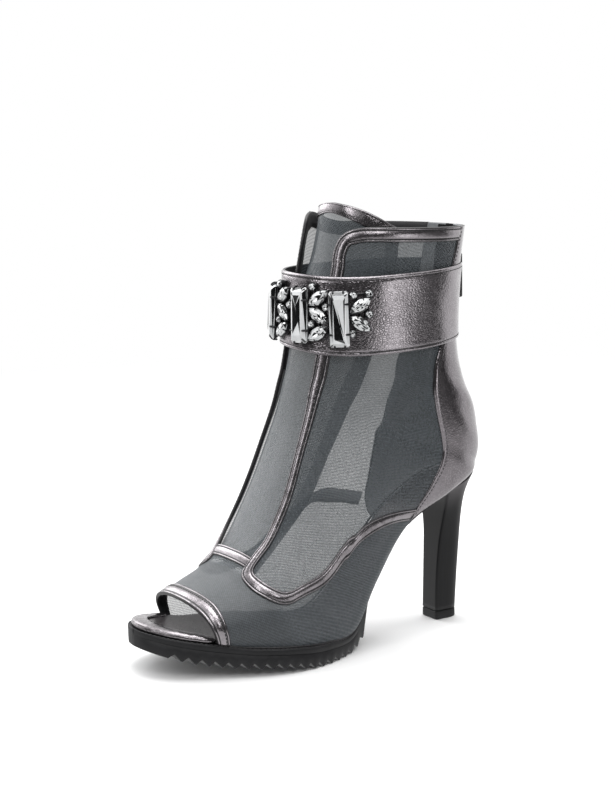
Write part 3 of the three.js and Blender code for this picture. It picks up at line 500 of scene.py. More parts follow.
M_MESH = sheer("mesh_fabric")
M_TRIM = pewter("pewter_trim", grain=(1100, 1100, 1500), depth=0.000035, dark=(0.02, 0.018, 0.02), blot=(70, 70, 110), rough=0.15, creases=0.4, smudge=0.8, pit=0.3)
M_STRAP = pewter("pewter_strap", grain=(520, 520, 1000), depth=0.00007, blot=(30, 30, 34), rough=0.17, creases=0.28, smudge=0.12, pit=0.45)
M_COUNTER = pewter("pewter_counter", grain=(600, 600, 720), depth=0.00004, light=(0.29, 0.268, 0.283), dark=(0.03, 0.027, 0.03), blot=(30, 30, 16), rough=0.11, creases=0.4, smudge=0.3, pit=0.45)
M_RIM = pewter("pewter_rim", grain=(700, 1200, 700), depth=0.00004, light=(0.3, 0.28, 0.293), dark=(0.02, 0.018, 0.02), blot=(70, 36, 70), rough=0.18, creases=0.6, smudge=0.75, pit=0.3)
M_BACKING = plain_noise("trim_backing", (0.3, 0.31, 0.32), (0.42, 0.43, 0.44), 0.7, 900)
M_FACING = plain_noise("counter_lining", (0.17, 0.178, 0.185), (0.26, 0.27, 0.28), 0.7, 900)
M_LINING = plain_noise("lining_black", (0.008, 0.008, 0.009), (0.022, 0.022, 0.024), 0.72, 900)
M_EDGE = plain_noise("edge_paint", (0.006, 0.006, 0.007), (0.02, 0.018, 0.02), 0.38, 1400)
M_THREAD = plain_noise("thread", (0.008, 0.008, 0.009), (0.04, 0.038, 0.04), 0.55, 5200, 0.00004)
M_RUBBER = plain_noise("sole_rubber", (0.0065, 0.0065, 0.0075), (0.013, 0.013, 0.0145), 0.55, 1500, 0.00004, spec=0.3)
M_TIPRUB = plain_noise("top_piece_rubber", (0.006, 0.006, 0.0065), (0.012, 0.012, 0.013), 0.6, 1500, 0.00004, spec=0.3)
M_METAL = plain_noise("dark_metal", (0.012, 0.012, 0.013), (0.05, 0.05, 0.053), 0.32, 2400, 0.00003, metallic=0.8)
M_TAPE = plain_noise("zip_tape", (0.008, 0.008, 0.009), (0.024, 0.024, 0.026), 0.8, 2600, 0.00012)
M_PULL = plain_noise("pull_leather", (0.006, 0.006, 0.007), (0.022, 0.021, 0.022), 0.46, 1300, 0.00016)
M_SOCK = plain_noise("sock_leather", (0.05, 0.045, 0.048), (0.105, 0.095, 0.1), 0.3, 420, 0.00008, metallic=0.45)


def heel_material():
    """Lacquer over leather: pewter at the seat fading to black below, with vertical grain."""
    m = Mat("heel_cover")
    c = m.coords()
    z = m.node("ShaderNodeSeparateXYZ", Vector=c).outputs[2]
    y = m.node("ShaderNodeSeparateXYZ", Vector=c).outputs[1]
    streak = m.noise(m.node("ShaderNodeMapping", Vector=c, Scale=(900, 900, 60)).outputs[0], 1.0, 3, 0.6)
    cloud = m.noise(c, 70, 3, 0.55)
    zz = m.math("ADD", z, m.math("MULTIPLY", m.math("SUBTRACT", cloud, 0.5), 0.014))
    fade = m.range(zz, 0.064, 0.096, 0.0, 1.0, True)
    breast = m.range(y, -0.0066, -0.0042, 1.0, 0.0, True)
    body = m.mix(m.range(streak, 0.35, 0.7), (0.0035, 0.0035, 0.0042), (0.0075, 0.0075, 0.0085))
    metal = m.mix(m.range(cloud, 0.35, 0.7), (0.16, 0.148, 0.156), (0.09, 0.083, 0.088))
    lit = m.mix(fade, body, metal)
    m.set(Base_Color=m.mix(m.math("MULTIPLY", breast, 0.8), lit, (0.008, 0.008, 0.009)),
          Metallic=m.math("MULTIPLY", fade, m.math("SUBTRACT", 0.85, m.math("MULTIPLY", breast, 0.8)), clamp=True),
          Roughness=m.range(streak, 0.3, 0.7, 0.34, 0.44), Normal=m.bump(streak, 0.00003, 0.5))
    m.p.inputs["Specular IOR Level"].default_value = 0.25
    return m.m


def crystal_material():
    """Foiled cut glass with a painted reflection: each facet's colour, from near black to near white, comes from its
    own `facet` value.
    """
    m = Mat("crystal")
    f = m.node("ShaderNodeAttribute", dict(attribute_name="facet", attribute_type="GEOMETRY")).outputs["Fac"]
    c = m.coords()
    n = m.noise(c, 900, 2)
    k = m.math("ADD", f, m.range(n, 0.3, 0.7, -0.08, 0.08), clamp=True)
    r = m.node("ShaderNodeValToRGB", Fac=k)
    e = r.color_ramp.elements
    e[0].position, e[0].color = 0.0, (0.012, 0.013, 0.014, 1)
    e[1].position, e[1].color = 1.0, (0.95, 0.96, 0.97, 1)
    for pos, col in ((0.16, (0.06, 0.063, 0.066, 1)), (0.32, (0.34, 0.35, 0.36, 1)), (0.5, (0.78, 0.8, 0.81, 1))):
        x = e.new(pos)
        x.color = col
    m.set(Base_Color=r.outputs[0], Metallic=m.range(k, 0.0, 0.6, 0.7, 0.08), Roughness=m.range(n, 0.3, 0.7, 0.03, 0.08))
    m.p.inputs["Coat Weight"].default_value = 1.0
    m.p.inputs["Coat Roughness"].default_value = 0.02
    m.p.inputs["Coat IOR"].default_value = 1.6
    m.p.inputs["IOR"].default_value = 1.55
    return m.m


M_HEEL = heel_material()
M_CRYSTAL = crystal_material()

# ------------------------------------------------------------------ net shell of the upper
U_THROAT, U_ZIP = 2.6, 10.5


PANEL = np.array([[2.1, 0.2], [2.24, 0.36], [2.5, 0.44], [2.74, 0.465], [3.68, 0.509], [4.5, 0.54], [5.05, 0.567], [5.48, 0.615], [5.8, 0.68], [6.15, 0.786], [6.4, 1.0]])


def doubled(u, v):
    """1 on the vamp and the waist, where the net lies double, 0 in the side panels above the trim."""
    edge = np.interp(u, PANEL[:, 0], PANEL[:, 1])
    inside = smooth((u - 2.1) / 0.12) * smooth((edge - np.abs(v)) / 0.02 + 0.5)
    # the medial wall is nearly single
    return (1 - inside) * np.where(u > 9, 0.0, 1.0) * np.where(v < 0, 1 - 0.75 * smooth((-v - 0.18) / 0.12), 1.0)


def folds(u, v):
    """Soft standing folds of the net between the ankle and the counter, in mm outwards, and a painted shade along each
    fold: how much denser, so darker, or thinner, so lighter, the net is drawn there.
    """
    h, dark = 0.0, 0.0
    # the last value of each fold is its painted shade: above 0 the net is drawn denser and darker, below 0 thinner and
    # lighter
    for u0, v0, u1, v1, high, wide, shade in ((13.2, 0.635, 9.0, 0.505, 0.8, 0.016, -0.25), (13.2, 0.60, 8.6, 0.45, -0.7, 0.02, 0.3),
                                              (12.6, 0.66, 9.6, 0.565, -0.6, 0.014, 0.35), (13.0, 0.545, 10.0, 0.43, 0.5, 0.02, -0.12),
                                              (9.4, 0.60, 7.0, 0.52, 0.5, 0.02, 0.15), (8.8, 0.47, 6.6, 0.56, -0.5, 0.022, 0.15)):
        t = np.clip((u - u0) / (u1 - u0), 0, 1)
        mid = lerp(v0, v1, t)
        span = smooth((u - min(u0, u1)) / 0.9) * smooth((max(u0, u1) - u) / 0.6 + 0.2)
        g = np.exp(-((np.abs(v) - mid) / wide) ** 2) * span * np.where(v > 0, 1.0, 0.8)
        h = h + high * g
        dark = dark + shade * g
    return h, dark


def build_shell():
    us = np.concatenate([np.arange(0.0, 16.0, 0.12), [16.0]])
    us = np.unique(np.concatenate([us, [U_THROAT, U_ZIP]]))
    t, z = throat(us), back_column(us, 3.9)
    side = np.linspace(0, 1, 46)
    mid = np.linspace(-1, 1, 13)[1:-1]
    rows = []
    for k in range(len(us)):
        s = lerp(t[k], z[k], side)
        rows.append(np.concatenate([[-1.0], -s[::-1], mid * t[k], s, [1.0]]))
    V = np.array(rows)
    U = np.repeat(us[:, None], V.shape[1], 1)
    # the net sinks a little between the trims and stands proud of nothing
    rise, shade = folds(U, V)
    P = shell(U, V, -0.35 + rise)
    nj = V.shape[1]
    first, lastc = 1 + 45, 1 + 45 + 12

    def keep(i, j):
        th = (us[i] >= U_THROAT - 1e-6) & (j >= first) & (j < lastc)
        zp = (us[i] >= U_ZIP - 1e-6) & ((j == 0) | (j == nj - 2))
        return ~(th | zp)

    f, i, j = grid_faces(len(us), nj, keep=keep)
    uv = grid_uv(P, i, j, centre=nj // 2)
    # dense: the doubled net, plus the folds' painted shade and a denser vamp near the toe
    make("net_shell", P.reshape(-1, 3), f, [M_MESH], uv=uv, attrs={"dense": ("POINT", np.clip(0.1 + 0.62 * doubled(U, V) + shade + 0.14 * smooth((2.4 - U) / 0.5) * smooth((V + 0.25) / 0.1), 0, 1).ravel())},
         slot="mesh_fabric", replaces=("upper",))


build_shell()

# ------------------------------------------------------------------ bands lying on the last
PROFILE = [(0.0, -1.5), (-0.03, -0.7), (-0.01, 0.1), (0.045, 0.48), (0.13, 0.56), (0.15, 0.42), (0.215, 0.42), (0.24, 0.6), (0.5, 0.74),
           (0.76, 0.6), (0.785, 0.42), (0.85, 0.42), (0.87, 0.56), (0.955, 0.48), (1.01, 0.1), (1.03, -0.7), (1.0, -1.5), (0.66, -1.58), (0.33, -1.58)]
# which face of the profile has which finish: 0 leather, 1 painted edge, 2 lining
PROFILE_MAT = [1, 1, 1, 0, 1, 1, 1, 0, 0, 1, 1, 1, 0, 1, 1, 1, 2, 2, 2]


def band(name, A, B, step=1.6, profile=PROFILE, mats=PROFILE_MAT, surf=shell, material=None, high=1.0, low=1.0,
         stitches=(0.19, 0.81), pitch=2.3, slot="strap_leather", backing=None, smooth_path=True, **kw):
    """A leather band between two edges A and B, rows of (u, v) that belong together."""
    W = np.hstack([np.asarray(A, float), np.asarray(B, float)])
    if smooth_path:
        W = catmull_path(W, 8)
    mid = surf((W[:, 0] + W[:, 2]) / 2, (W[:, 1] + W[:, 3]) / 2, 0.0)
    W = resample(W, step, key=mid)
    t = np.array([p[0] for p in profile])[None]
    d = np.array([p[1] * (high if p[1] > 0 else low) for p in profile])[None]
    u = lerp(W[:, 0:1], W[:, 2:3], t)
    v = lerp(W[:, 1:2], W[:, 3:4], t)
    P = surf(u, v, np.broadcast_to(d, u.shape))
    n = len(profile)
    f, i, j = grid_faces(len(P), n, closed=True)
    uv = grid_uv(P, i, j, closed=True)
    index = [mats[k] + (mats[k] == 2 and backing is not None and W[r, 0] < 9) for k, r in zip(j, i)]
    faces = [list(q) for q in f]
    uv = uv.tolist()
    for ring, flip in ((0, True), (len(P) - 1, False)):
        loop = list(range(ring * n, ring * n + n))
        loop = loop[::-1] if flip else loop
        faces.append(loop)
        index.append(1)
        uv += [[0, 0]] * n
    ob = make(name, P.reshape(-1, 3), faces, [material or M_TRIM, M_EDGE, M_LINING] + ([backing] if backing else []), index=index, uv=uv, slot=slot, **kw)
    for s in stitches:
        ts = np.full(len(W), s)
        uu, vv = lerp(W[:, 0], W[:, 2], ts), lerp(W[:, 1], W[:, 3], ts)
        h = np.interp(s, [p[0] for p in profile[3:14]], [p[1] for p in profile[3:14]]) * high
        Q = surf(uu, vv, h)
        N = unit(surf(uu, vv, h + 1.0) - Q)
        stitch_row(Q, N, pitch=pitch)
    return ob


# outer u v, inner u v of the side panel's trim: from the zip along the collar, down the throat, round the
# foot of the panel and back up to the counter
TRIM = np.array([
    [16.0, 0.762, 15.76, 0.756], [16.0, 0.71, 15.75, 0.71], [16.0, 0.66, 15.74, 0.66], [16.0, 0.52, 15.71, 0.52],
    [16.0, 0.42, 15.69, 0.42], [16.0, 0.345, 15.67, 0.35], [15.98, 0.285, 15.65, 0.305], [15.88, 0.222, 15.57, 0.258],
    [15.68, 0.182, 15.42, 0.228], [15.4, 0.163, 15.24, 0.215], [15.0, 0.155, 14.98, 0.213], [14.4, 0.16, 14.4, 0.218],
    [12.2, 0.151, 12.2, 0.213], [10.02, 0.144, 10.06, 0.208], [8.56, 0.143, 8.6, 0.204], [6.99, 0.153, 7.02, 0.208],
    [5.73, 0.163, 5.83, 0.217], [4.71, 0.175, 4.84, 0.228], [3.95, 0.17, 4.06, 0.224], [3.3, 0.158, 3.36, 0.209],
    [2.8, 0.132, 2.88, 0.188], [2.42, 0.12, 2.56, 0.177], [2.15, 0.124, 2.38, 0.183], [1.99, 0.155, 2.31, 0.203],
    [1.92, 0.21, 2.30, 0.232], [1.91, 0.265, 2.32, 0.268], [1.98, 0.33, 2.37, 0.318], [2.12, 0.40, 2.46, 0.368],
    [2.32, 0.455, 2.6, 0.415], [2.58, 0.487, 2.8, 0.443], [2.95, 0.503, 3.1, 0.463], [3.61, 0.525, 3.72, 0.492],
    [4.2, 0.543, 4.3, 0.518], [4.7, 0.56, 4.83, 0.542], [5.1, 0.587, 5.2, 0.562], [5.41, 0.63, 5.54, 0.598],
    [5.73, 0.695, 5.86, 0.66], [5.95, 0.765, 6.13, 0.73], [6.1, 0.84, 6.35, 0.81],
])
for side, word in ((1, "lateral"), (-1, "medial")):
    T = TRIM.copy()
    if side < 0:  # the medial counter is narrower at the collar
        T[:2, 1], T[:2, 3] = (0.876, 0.80), (0.87, 0.80)
    if side < 0:  # the rear end of the medial one lies a little lower
        k = smooth((np.arange(len(T)) - 26) / 4) * (np.arange(len(T)) > 22)
        T[:, 0] = lerp(T[:, 0], np.interp(T[:, 1], [0.5, 0.605, 0.681, 0.767, 0.85], [4.0, 5.51, 5.76, 5.97, 6.1]), k * (T[:, 1] > 0.6))
        T[:, 2] = lerp(T[:, 2], np.interp(T[:, 3], [0.5, 0.617, 0.688, 0.765, 0.85], [4.3, 5.84, 6.09, 6.28, 6.4]), k * (T[:, 3] > 0.61))
    # the upright part and the collar are a little wider than the foot
    tall = smooth((T[:, 0] - 6) / 3) * (np.arange(len(T)) < 18)
    T[:, 3] += 0.012 * tall * (np.arange(len(T)) > 7)
    T[:8, 2] -= 0.1
    if side < 0:
        T[:, 3] += 0.026 * smooth((T[:, 0] - 12.5) / 2) * (np.arange(len(T)) > 6)
    T = T * [1, side, 1, side]
    band(f"panel_trim_{word}", T[:, :2], T[:, 2:], step=1.5, stitches=(0.183, 0.817), backing=M_BACKING)

# strip across the foot of the throat
CROSS = np.array([[2.66, v, 2.32, v] for v in (-0.13, -0.09, -0.045, 0.0, 0.045, 0.09, 0.13)])
band("throat_strip", CROSS[:, :2], CROSS[:, 2:], step=1.5, high=0.7)

# rolled binding of the open toe
RIM = [[-0.02, v, np.interp(abs(v), [0, 0.12, 0.25, 0.39, 0.52, 0.7, 0.945, 1.0], [0.6, 0.62, 0.63, 0.53, 0.42, 0.36, 0.33, 0.33]), v]
       for v in np.concatenate([np.linspace(-0.985, -0.5, 14), np.linspace(-0.46, 0.46, 25), np.linspace(0.5, 0.985, 14)])]
RIM = np.array(RIM)
band("toe_binding", RIM[:, :2], RIM[:, 2:], step=1.3, surf=last, high=1.1, stitches=(0.72,), pitch=2.1)

# ------------------------------------------------------------------ counter round the back of the heel
COUNTER = np.array([[16.0, 0.759], [15.5, 0.745], [15.0, 0.730], [14.0, 0.714], [13.2, 0.70], [12.54, 0.675], [11.59, 0.63], [10.72, 0.607], [9.79, 0.613],
                    [8.86, 0.64], [8.09, 0.675], [7.46, 0.713], [6.86, 0.752], [6.39, 0.80], [6.15, 0.86], [6.02, 0.93], [5.98, 1.0]])
COUNTER_M = np.array([[16.0, 0.868], [15.0, 0.862], [14.0, 0.845], [13.0, 0.815], [11.84, 0.741], [10.9, 0.70], [10.03, 0.665], [9.2, 0.65], [8.46, 0.648],
                      [7.9, 0.67], [7.3, 0.711], [6.75, 0.77], [6.3, 0.84], [6.05, 0.93], [5.98, 1.0]])


def counter(side, word):
    """One half of the counter: from its front edge to the zip, or to the back seam below the zip."""
    path = catmull_path(COUNTER if side > 0 else COUNTER_M, 6)
    us = np.unique(np.concatenate([np.arange(5.98, 16.0, 0.09), [16.0, U_ZIP]]))
    order = np.argsort(path[:, 0])
    edge = np.interp(us, path[order, 0], path[order, 1])
    end = np.where(us >= U_ZIP - 1e-6, back_column(us, 3.75), 1.0)
    s = np.linspace(0, 1, 34)
    V = lerp(edge[:, None], np.maximum(end, edge + 1e-4)[:, None], s[None])
    U = np.repeat(us[:, None], len(s), 1)
    # profile across the front edge: turned edge, stitch groove, then full height
    mm = (V - edge[:, None]) * 118
    h = 0.62 - 0.5 * (1 - smooth(mm / 0.9)) - 0.16 * np.exp(-((mm - 2.0) / 0.55) ** 2)
    fold = 0.34 * np.sin(U * 5.2 + V * 9) * smooth((U - 8.2) / 1.2) * (1 - smooth((U - 11.4) / 1.2)) * smooth((V - 0.66) / 0.12)
    O = shell(U, V * side, h + fold * 0.7)
    I = shell(U, V * side, -1.5 + 0 * h)
    n, c = O.shape[:2]
    f, i, j = grid_faces(n, c)
    uv = grid_uv(O, i, j)
    top = [list(q) for q in f]
    low = [[a + n * c for a in q[::-1]] for q in f.tolist()]
    faces = top + low
    index = [0] * len(top) + [2] * len(low)
    uvs = uv.tolist() + uv.tolist()
    rim = [(k * c, (k + 1) * c) for k in range(n - 1)]
    rim2 = [((k + 1) * c + c - 1, k * c + c - 1) for k in range(n - 1)]
    top_edge = [((n - 1) * c + k, (n - 1) * c + k + 1) for k in range(c - 1)]
    low_edge = [(k + 1, k) for k in range(c - 1)]
    for a, b in rim + rim2 + top_edge + low_edge:
        faces.append([a, b, b + n * c, a + n * c])
        index.append(1)
        uvs += [[0, 0]] * 4
    make(f"counter_{word}", np.concatenate([O.reshape(-1, 3), I.reshape(-1, 3)]), faces, [M_COUNTER, M_EDGE, M_FACING],
         index=index, uv=uvs, slot="strap_leather")
    e = path[(path[:, 0] > 6.2)]
    v2 = e[:, 1] + 2.0 / 118
    Q = shell(e[:, 0], v2 * side, 0.5)
    N = unit(shell(e[:, 0], v2 * side, 1.5) - Q)
    stitch_row(Q, N)


for side, word in ((1, "lateral"), (-1, "medial")):
    counter(side, word)

# back seam below the zip, lapped
us = np.linspace(U_ZIP - 0.02, 9.0, 24)
strip_v = [(-2.6, 0.55), (-2.3, 0.95), (-1.4, 1.02), (0, 1.06), (1.4, 1.02), (2.3, 0.95), (2.6, 0.55), (1.5, 0.3), (-1.5, 0.3)]
P = np.stack([back_point(us, x, d) for x, d in strip_v], 1)
f, i, j = grid_faces(len(P), len(strip_v), closed=True)
faces = [list(q) for q in f] + [list(range(len(strip_v)))[::-1], list(range((len(P) - 1) * len(strip_v), len(P) * len(strip_v)))]
make("back_seam_strip", P.reshape(-1, 3), faces, [M_COUNTER], slot="strap_leather")

# stitching either side of the zip
for side in (1, -1):
    us = np.linspace(U_ZIP + 0.1, 15.95, 120)
    for x in (5.3, 9.6):
        Q = back_point(us, side * x, 0.62)
        stitch_row(Q, unit(back_point(us, side * x, 1.62) - Q))

# ------------------------------------------------------------------ front panel
TONGUE_SIDE = [[2.3, 0.185], [2.6, 0.2], [4, 0.27], [4.9, 0.325], [5.4, 0.343], [6.1, 0.346], [8.5, 0.353], [10.8, 0.401], [14.6, 0.5], [15.7, 0.484], [16.5, 0.46]]
TONGUE_TOP = [[-0.3, 16.45], [-0.2, 16.64], [-0.08, 16.83], [0, 16.95], [0.03, 16.98], [0.156, 16.8], [0.258, 16.58], [0.323, 16.4], [0.378, 16.22], [0.46, 15.95], [0.5, 15.9]]


def tongue_half(u, side):
    u, side = np.broadcast_arrays(np.asarray(u, float), np.asarray(side, float))
    return np.where(side > 0, eased(TONGUE_SIDE, 1, u, 0.5), throat(np.minimum(u, 15)) + lerp(0.06, 0.12, smooth((u - 8) / 8)))


def tongue_top(side):
    return eased(TONGUE_TOP, 1, side * tongue_half(16.4, side), 0.04)


def tongue_at(u, side, d):
    return last(u, side * tongue_half(u, side), d - 4.6 * smooth((np.asarray(u, float) - 12) / 4))


OUT = -(WALL + GAP + 0.25)
fs, sd = np.linspace(0, 1, 120), np.concatenate([np.linspace(-1, 0, 18)[:-1], np.linspace(0, 1, 34)])
F, S = np.meshgrid(fs, sd, indexing="ij")
U = lerp(U_THROAT - 0.3, tongue_top(S) - 0.42, F)
ripple = 0.25 * np.sin(F * 21 + S * 2.0) * (1 - np.abs(S)) + 0.3 * np.exp(-((S - 0.62 + 0.1 * F) / 0.05) ** 2) * smooth(F * 4)
P = tongue_at(U, S, OUT - 0.5 + ripple)
# the turned hem along both sides lies double
hem = smooth(((np.abs(S) - 1) * tongue_half(U, S) + 0.072) / 0.004)
hem = np.where(S < 0, smooth(((np.abs(S) - 1) * tongue_half(U, S) + 0.03) / 0.004), hem)
f, i, j = grid_faces(len(fs), len(sd))
make("front_panel", P.reshape(-1, 3), f, [M_MESH], uv=grid_uv(P, i, j, centre=17), attrs={"dense": ("POINT", (0.5 + 0.42 * hem).ravel())},
     slot="mesh_fabric", replaces=("tongue",))

# its binding at the top
s = np.linspace(-1, 1, 90)
high = tongue_top(s)
prof = [(0.0, -1.5), (-0.02, -0.6), (0.02, 0.1), (0.08, 0.32), (0.16, 0.2), (0.24, 0.36), (0.5, 0.46), (0.8, 0.36), (0.88, 0.24), (0.94, 0.34), (1.0, 0.2), (1.02, -0.6), (1.0, -1.5)]
rows = np.stack([tongue_at(high - 0.5 * (1 - t), s, OUT + d) for t, d in prof], 1)
n = len(prof)
f, i, j = grid_faces(len(rows), n, closed=True)
mats = [1, 1, 0, 0, 0, 0, 0, 0, 0, 0, 1, 1, 2]
faces = [list(q)[::-1] for q in f] + [list(range(n)), list(range((len(rows) - 1) * n, len(rows) * n))[::-1]]
make("front_panel_binding", rows.reshape(-1, 3), faces, [M_TRIM, M_EDGE, M_LINING], index=[mats[k] for k in j] + [1, 1], slot="strap_leather")
for t, h in ((0.16, 0.24), (0.88, 0.26)):
    Q = tongue_at(high - 0.5 * (1 - t), s, OUT + h)
    stitch_row(Q, unit(tongue_at(high - 0.5 * (1 - t), s, OUT + h + 1) - Q), pitch=1.9, length=1.3)

# ------------------------------------------------------------------ ankle strap
def strap_point(h, v, d=0.0):
    h, v, d = np.broadcast_arrays(np.asarray(h, float), np.asarray(v, float), np.asarray(d, float))
    s = {k: lerp(STRAP[0][k], STRAP[1][k], h) for k in STRAP[0]}
    s["by"] = s["by"] - 0.9 * np.maximum(0, 4 * h * (1 - h))
    th = np.abs(v) * math.pi
    n = np.where(np.abs(v) > 0.5, s["nb"], s["n"])
    c = np.cos(th)
    x = (np.where(v >= 0, s["wl"], s["wm"]) + d) * np.abs(np.sin(th)) ** (2 / n) * np.where(v >= 0, 1, -1)
    t = 0.5 * (1 - np.sign(c) * np.abs(c) ** (2 / n))
    return np.stack([x, lerp(s["fy"] - d, s["by"] + d, t), lerp(s["fz"], s["bz"], t)], -1)


def strap_h(e, v):
    tall = STRAP[1]["fz"] - STRAP[0]["fz"]
    return lerp(eased(STRAP_EDGE, 1, v, 0.08) / tall, 1 + eased(STRAP_EDGE, 2, v, 0.08) / tall, e)


def strap_end(side):
    lo, hi = 0.8, 1.0
    for _ in range(30):
        m = (lo + hi) / 2
        if abs(float(strap_point(0.5, side * m)[0])) > 5.4:
            lo = m
        else:
            hi = m
    return lo


c = np.linspace(-1, 1, 230)
v = np.where(c < 0, c * strap_end(-1), c * strap_end(1))
e = np.concatenate([[0, 0.006, 0.016, 0.03, 0.042, 0.052, 0.064], np.linspace(0.085, 0.915, 30), [0.936, 0.948, 0.958, 0.97, 0.984, 0.994, 1.0]])


def strap_height(e, v):
    """The strap's face: turned edges, a stitch groove, and slow waves of worn leather."""
    m = np.minimum(e, 1 - e) * 41
    h = STRAP_T - 0.9 * (1 - smooth(m / 0.75)) - 0.28 * np.exp(-((m - 1.9) / 0.4) ** 2)
    h = h + 0.10 * np.exp(-((m - 1.05) / 0.5) ** 2)
    wave = 0.16 * np.sin(v * 23 + 1.3 * np.sin(e * 4.2)) * np.sin(e * math.pi) + 0.1 * np.sin(v * 41 + e * 5)
    return (h + wave * smooth(m / 4)) * (1 - 0.35 * smooth((np.abs(v) - 0.6) / 0.3))


E, V = np.meshgrid(e, v, indexing="ij")
H = strap_h(E, V)
O = strap_point(H, V, strap_height(E, V))
I = strap_point(strap_h(lerp(0.004, 0.996, E), V), V, 0.02)
n, cc = O.shape[:2]
f, i, j = grid_faces(n, cc)
uv = grid_uv(O, i, j)
faces = [list(q)[::-1] for q in f] + [[a + n * cc for a in q] for q in f.tolist()]
uvs = uv.reshape(-1, 4, 2)[:, ::-1].reshape(-1, 2).tolist() + uv.tolist()
index = [2 if a in (4, n - 6) else 0 for a in i] + [1] * len(f)
ring = [(k * cc, (k + 1) * cc) for k in range(n - 1)] + [((k + 1) * cc + cc - 1, k * cc + cc - 1) for k in range(n - 1)]
ring += [((n - 1) * cc + k, (n - 1) * cc + k + 1) for k in range(cc - 1)] + [(k + 1, k) for k in range(cc - 1)]
for a, b in ring:
    faces.append([a, b, b + n * cc, a + n * cc])
    index.append(2)
    uvs += [[0, 0]] * 4
make("ankle_strap", np.concatenate([O.reshape(-1, 3), I.reshape(-1, 3)]), faces, [M_STRAP, M_LINING, M_EDGE], index=index, uv=uvs,
     slot="strap_leather", replaces=("strap",))
vv = np.linspace(v[2], v[-3], 500)
for at in (1.9 / 41, 1 - 1.9 / 41):
    Q = strap_point(strap_h(at, vv), vv, strap_height(np.full_like(vv, at), vv))
    N = unit(strap_point(strap_h(at, vv), vv, strap_height(np.full_like(vv, at), vv) + 1) - Q)
    stitch_row(Q, N, pitch=2.2, length=1.5, radius=0.24, lift=0.12)

# ------------------------------------------------------------------ crystals in their setting
MID_V, HALF_V = 0.0705, 0.3
LIFT = 0.7
STONES = [
    ("baguette", -0.112, 0.54, 0), ("baguette", 0.084, 0.55, 1.5), ("baguette", 0.246, 0.5, 0),
    ("marquise", 0.318, 0.665, 33), ("marquise", 0.322, 0.43, -36), ("round", 0.292, 0.81, 0), ("round", 0.345, 0.822, 0),
    ("round", 0.35, 0.545, 0), ("round", 0.296, 0.3, 0),
    ("marquise", 0.162, 0.785, 34), ("marquise", 0.165, 0.55, -36), ("marquise", 0.1665, 0.315, 32),
    ("round", 0.133, 0.935, 0), ("round", 0.193, 0.66, 0), ("round", 0.136, 0.435, 0),
    ("marquise", -0.014, 0.8, 34), ("marquise", -0.012, 0.565, -36), ("marquise", -0.016, 0.33, 32),
    ("round", -0.047, 0.935, 0), ("round", 0.021, 0.675, 0), ("round", -0.046, 0.45, 0),
    ("marquise", -0.19, 0.66, -33), ("marquise", -0.194, 0.42, 36), ("round", -0.164, 0.805, 0), ("round", -0.217, 0.815, 0),
    ("round", -0.222, 0.54, 0), ("round", -0.17, 0.275, 0),
]


def strap_frame(h, v, lift):
    at = lambda hh, vv: strap_point(hh, vv, STRAP_T + GAP + SET_BASE)
    right = unit(at(h, v + 0.02) - at(h, v - 0.02))
    up0 = unit(at(h + 0.1, v) - at(h - 0.1, v))
    out = unit(np.cross(right, up0))
    up = np.cross(out, right)
    return np.array([right, up, out]), at(h, v) + out * lift


def place(local, frame_rows, origin, turn):
    a = math.radians(turn)
    r = np.array([[math.cos(a), math.sin(a), 0], [-math.sin(a), math.cos(a), 0], [0, 0, 1]])
    return (np.asarray(local, float) @ r) @ frame_rows + origin


def hash01(*x):
    return (math.sin(sum(a * b for a, b in zip(x, (12.9898, 78.233, 37.719, 4.581)))) * 43758.5453) % 1.0


def facet_stone(rings, centre):
    """Rings of points from the base up, each turned half a step from the one below where it has facets."""
    v, f = [], []
    start = []
    for r in rings:
        start.append(len(v))
        v += [list(p) for p in r]
    n = len(rings[0])
    for k in range(len(rings) - 1):
        a, b = start[k], start[k + 1]
        for q in range(n):
            q2 = (q + 1) % n
            if k == 0:
                f.append([a + q, a + q2, b + q2, b + q])
            elif k % 2:
                f.append([a + q, a + q2, b + q])
                f.append([a + q2, b + q2, b + q])
            else:
                f.append([a + q, b + q2, b + q])
                f.append([a + q, a + q2, b + q2])
    top = start[-1]
    c0 = len(v)
    v += [list(p) for p in centre]
    if len(centre) == 1:
        for q in range(n):
            f.append([top + q, top + (q + 1) % n, c0])
    else:  # a ridge along the stone
        ring = np.array(rings[-1])
        near = [0 if p[1] < 0 else 1 for p in ring]
        for q in range(n):
            q2 = (q + 1) % n
            if near[q] == near[q2]:
                f.append([top + q, top + q2, c0 + near[q]])
            else:
                f.append([top + q, top + q2, c0 + near[q2]])
                f.append([top + q, c0 + near[q2], c0 + near[q]])
    f.append(list(range(n))[::-1])
    return v, f


def rectangle(w, h, c):
    return np.array([[w / 2 - c, -h / 2], [w / 2, -h / 2 + c], [w / 2, h / 2 - c], [w / 2 - c, h / 2], [-w / 2 + c, h / 2], [-w / 2, h / 2 - c], [-w / 2, -h / 2 + c], [-w / 2 + c, -h / 2]])


def ring_at(outline, z, kx, ky=None, half=False):
    o = np.array(outline, float) * [kx, ky or kx]
    if half:
        o = (o + np.roll(o, -1, 0)) / 2
    return np.column_stack([o, np.full(len(o), z)])


ALMOND = np.array([[1, 0], [0.66, 0.56], [0.24, 0.93], [-0.24, 0.93], [-0.66, 0.56], [-1, 0], [-0.66, -0.56], [-0.24, -0.93], [0.24, -0.93], [0.66, -0.56]])


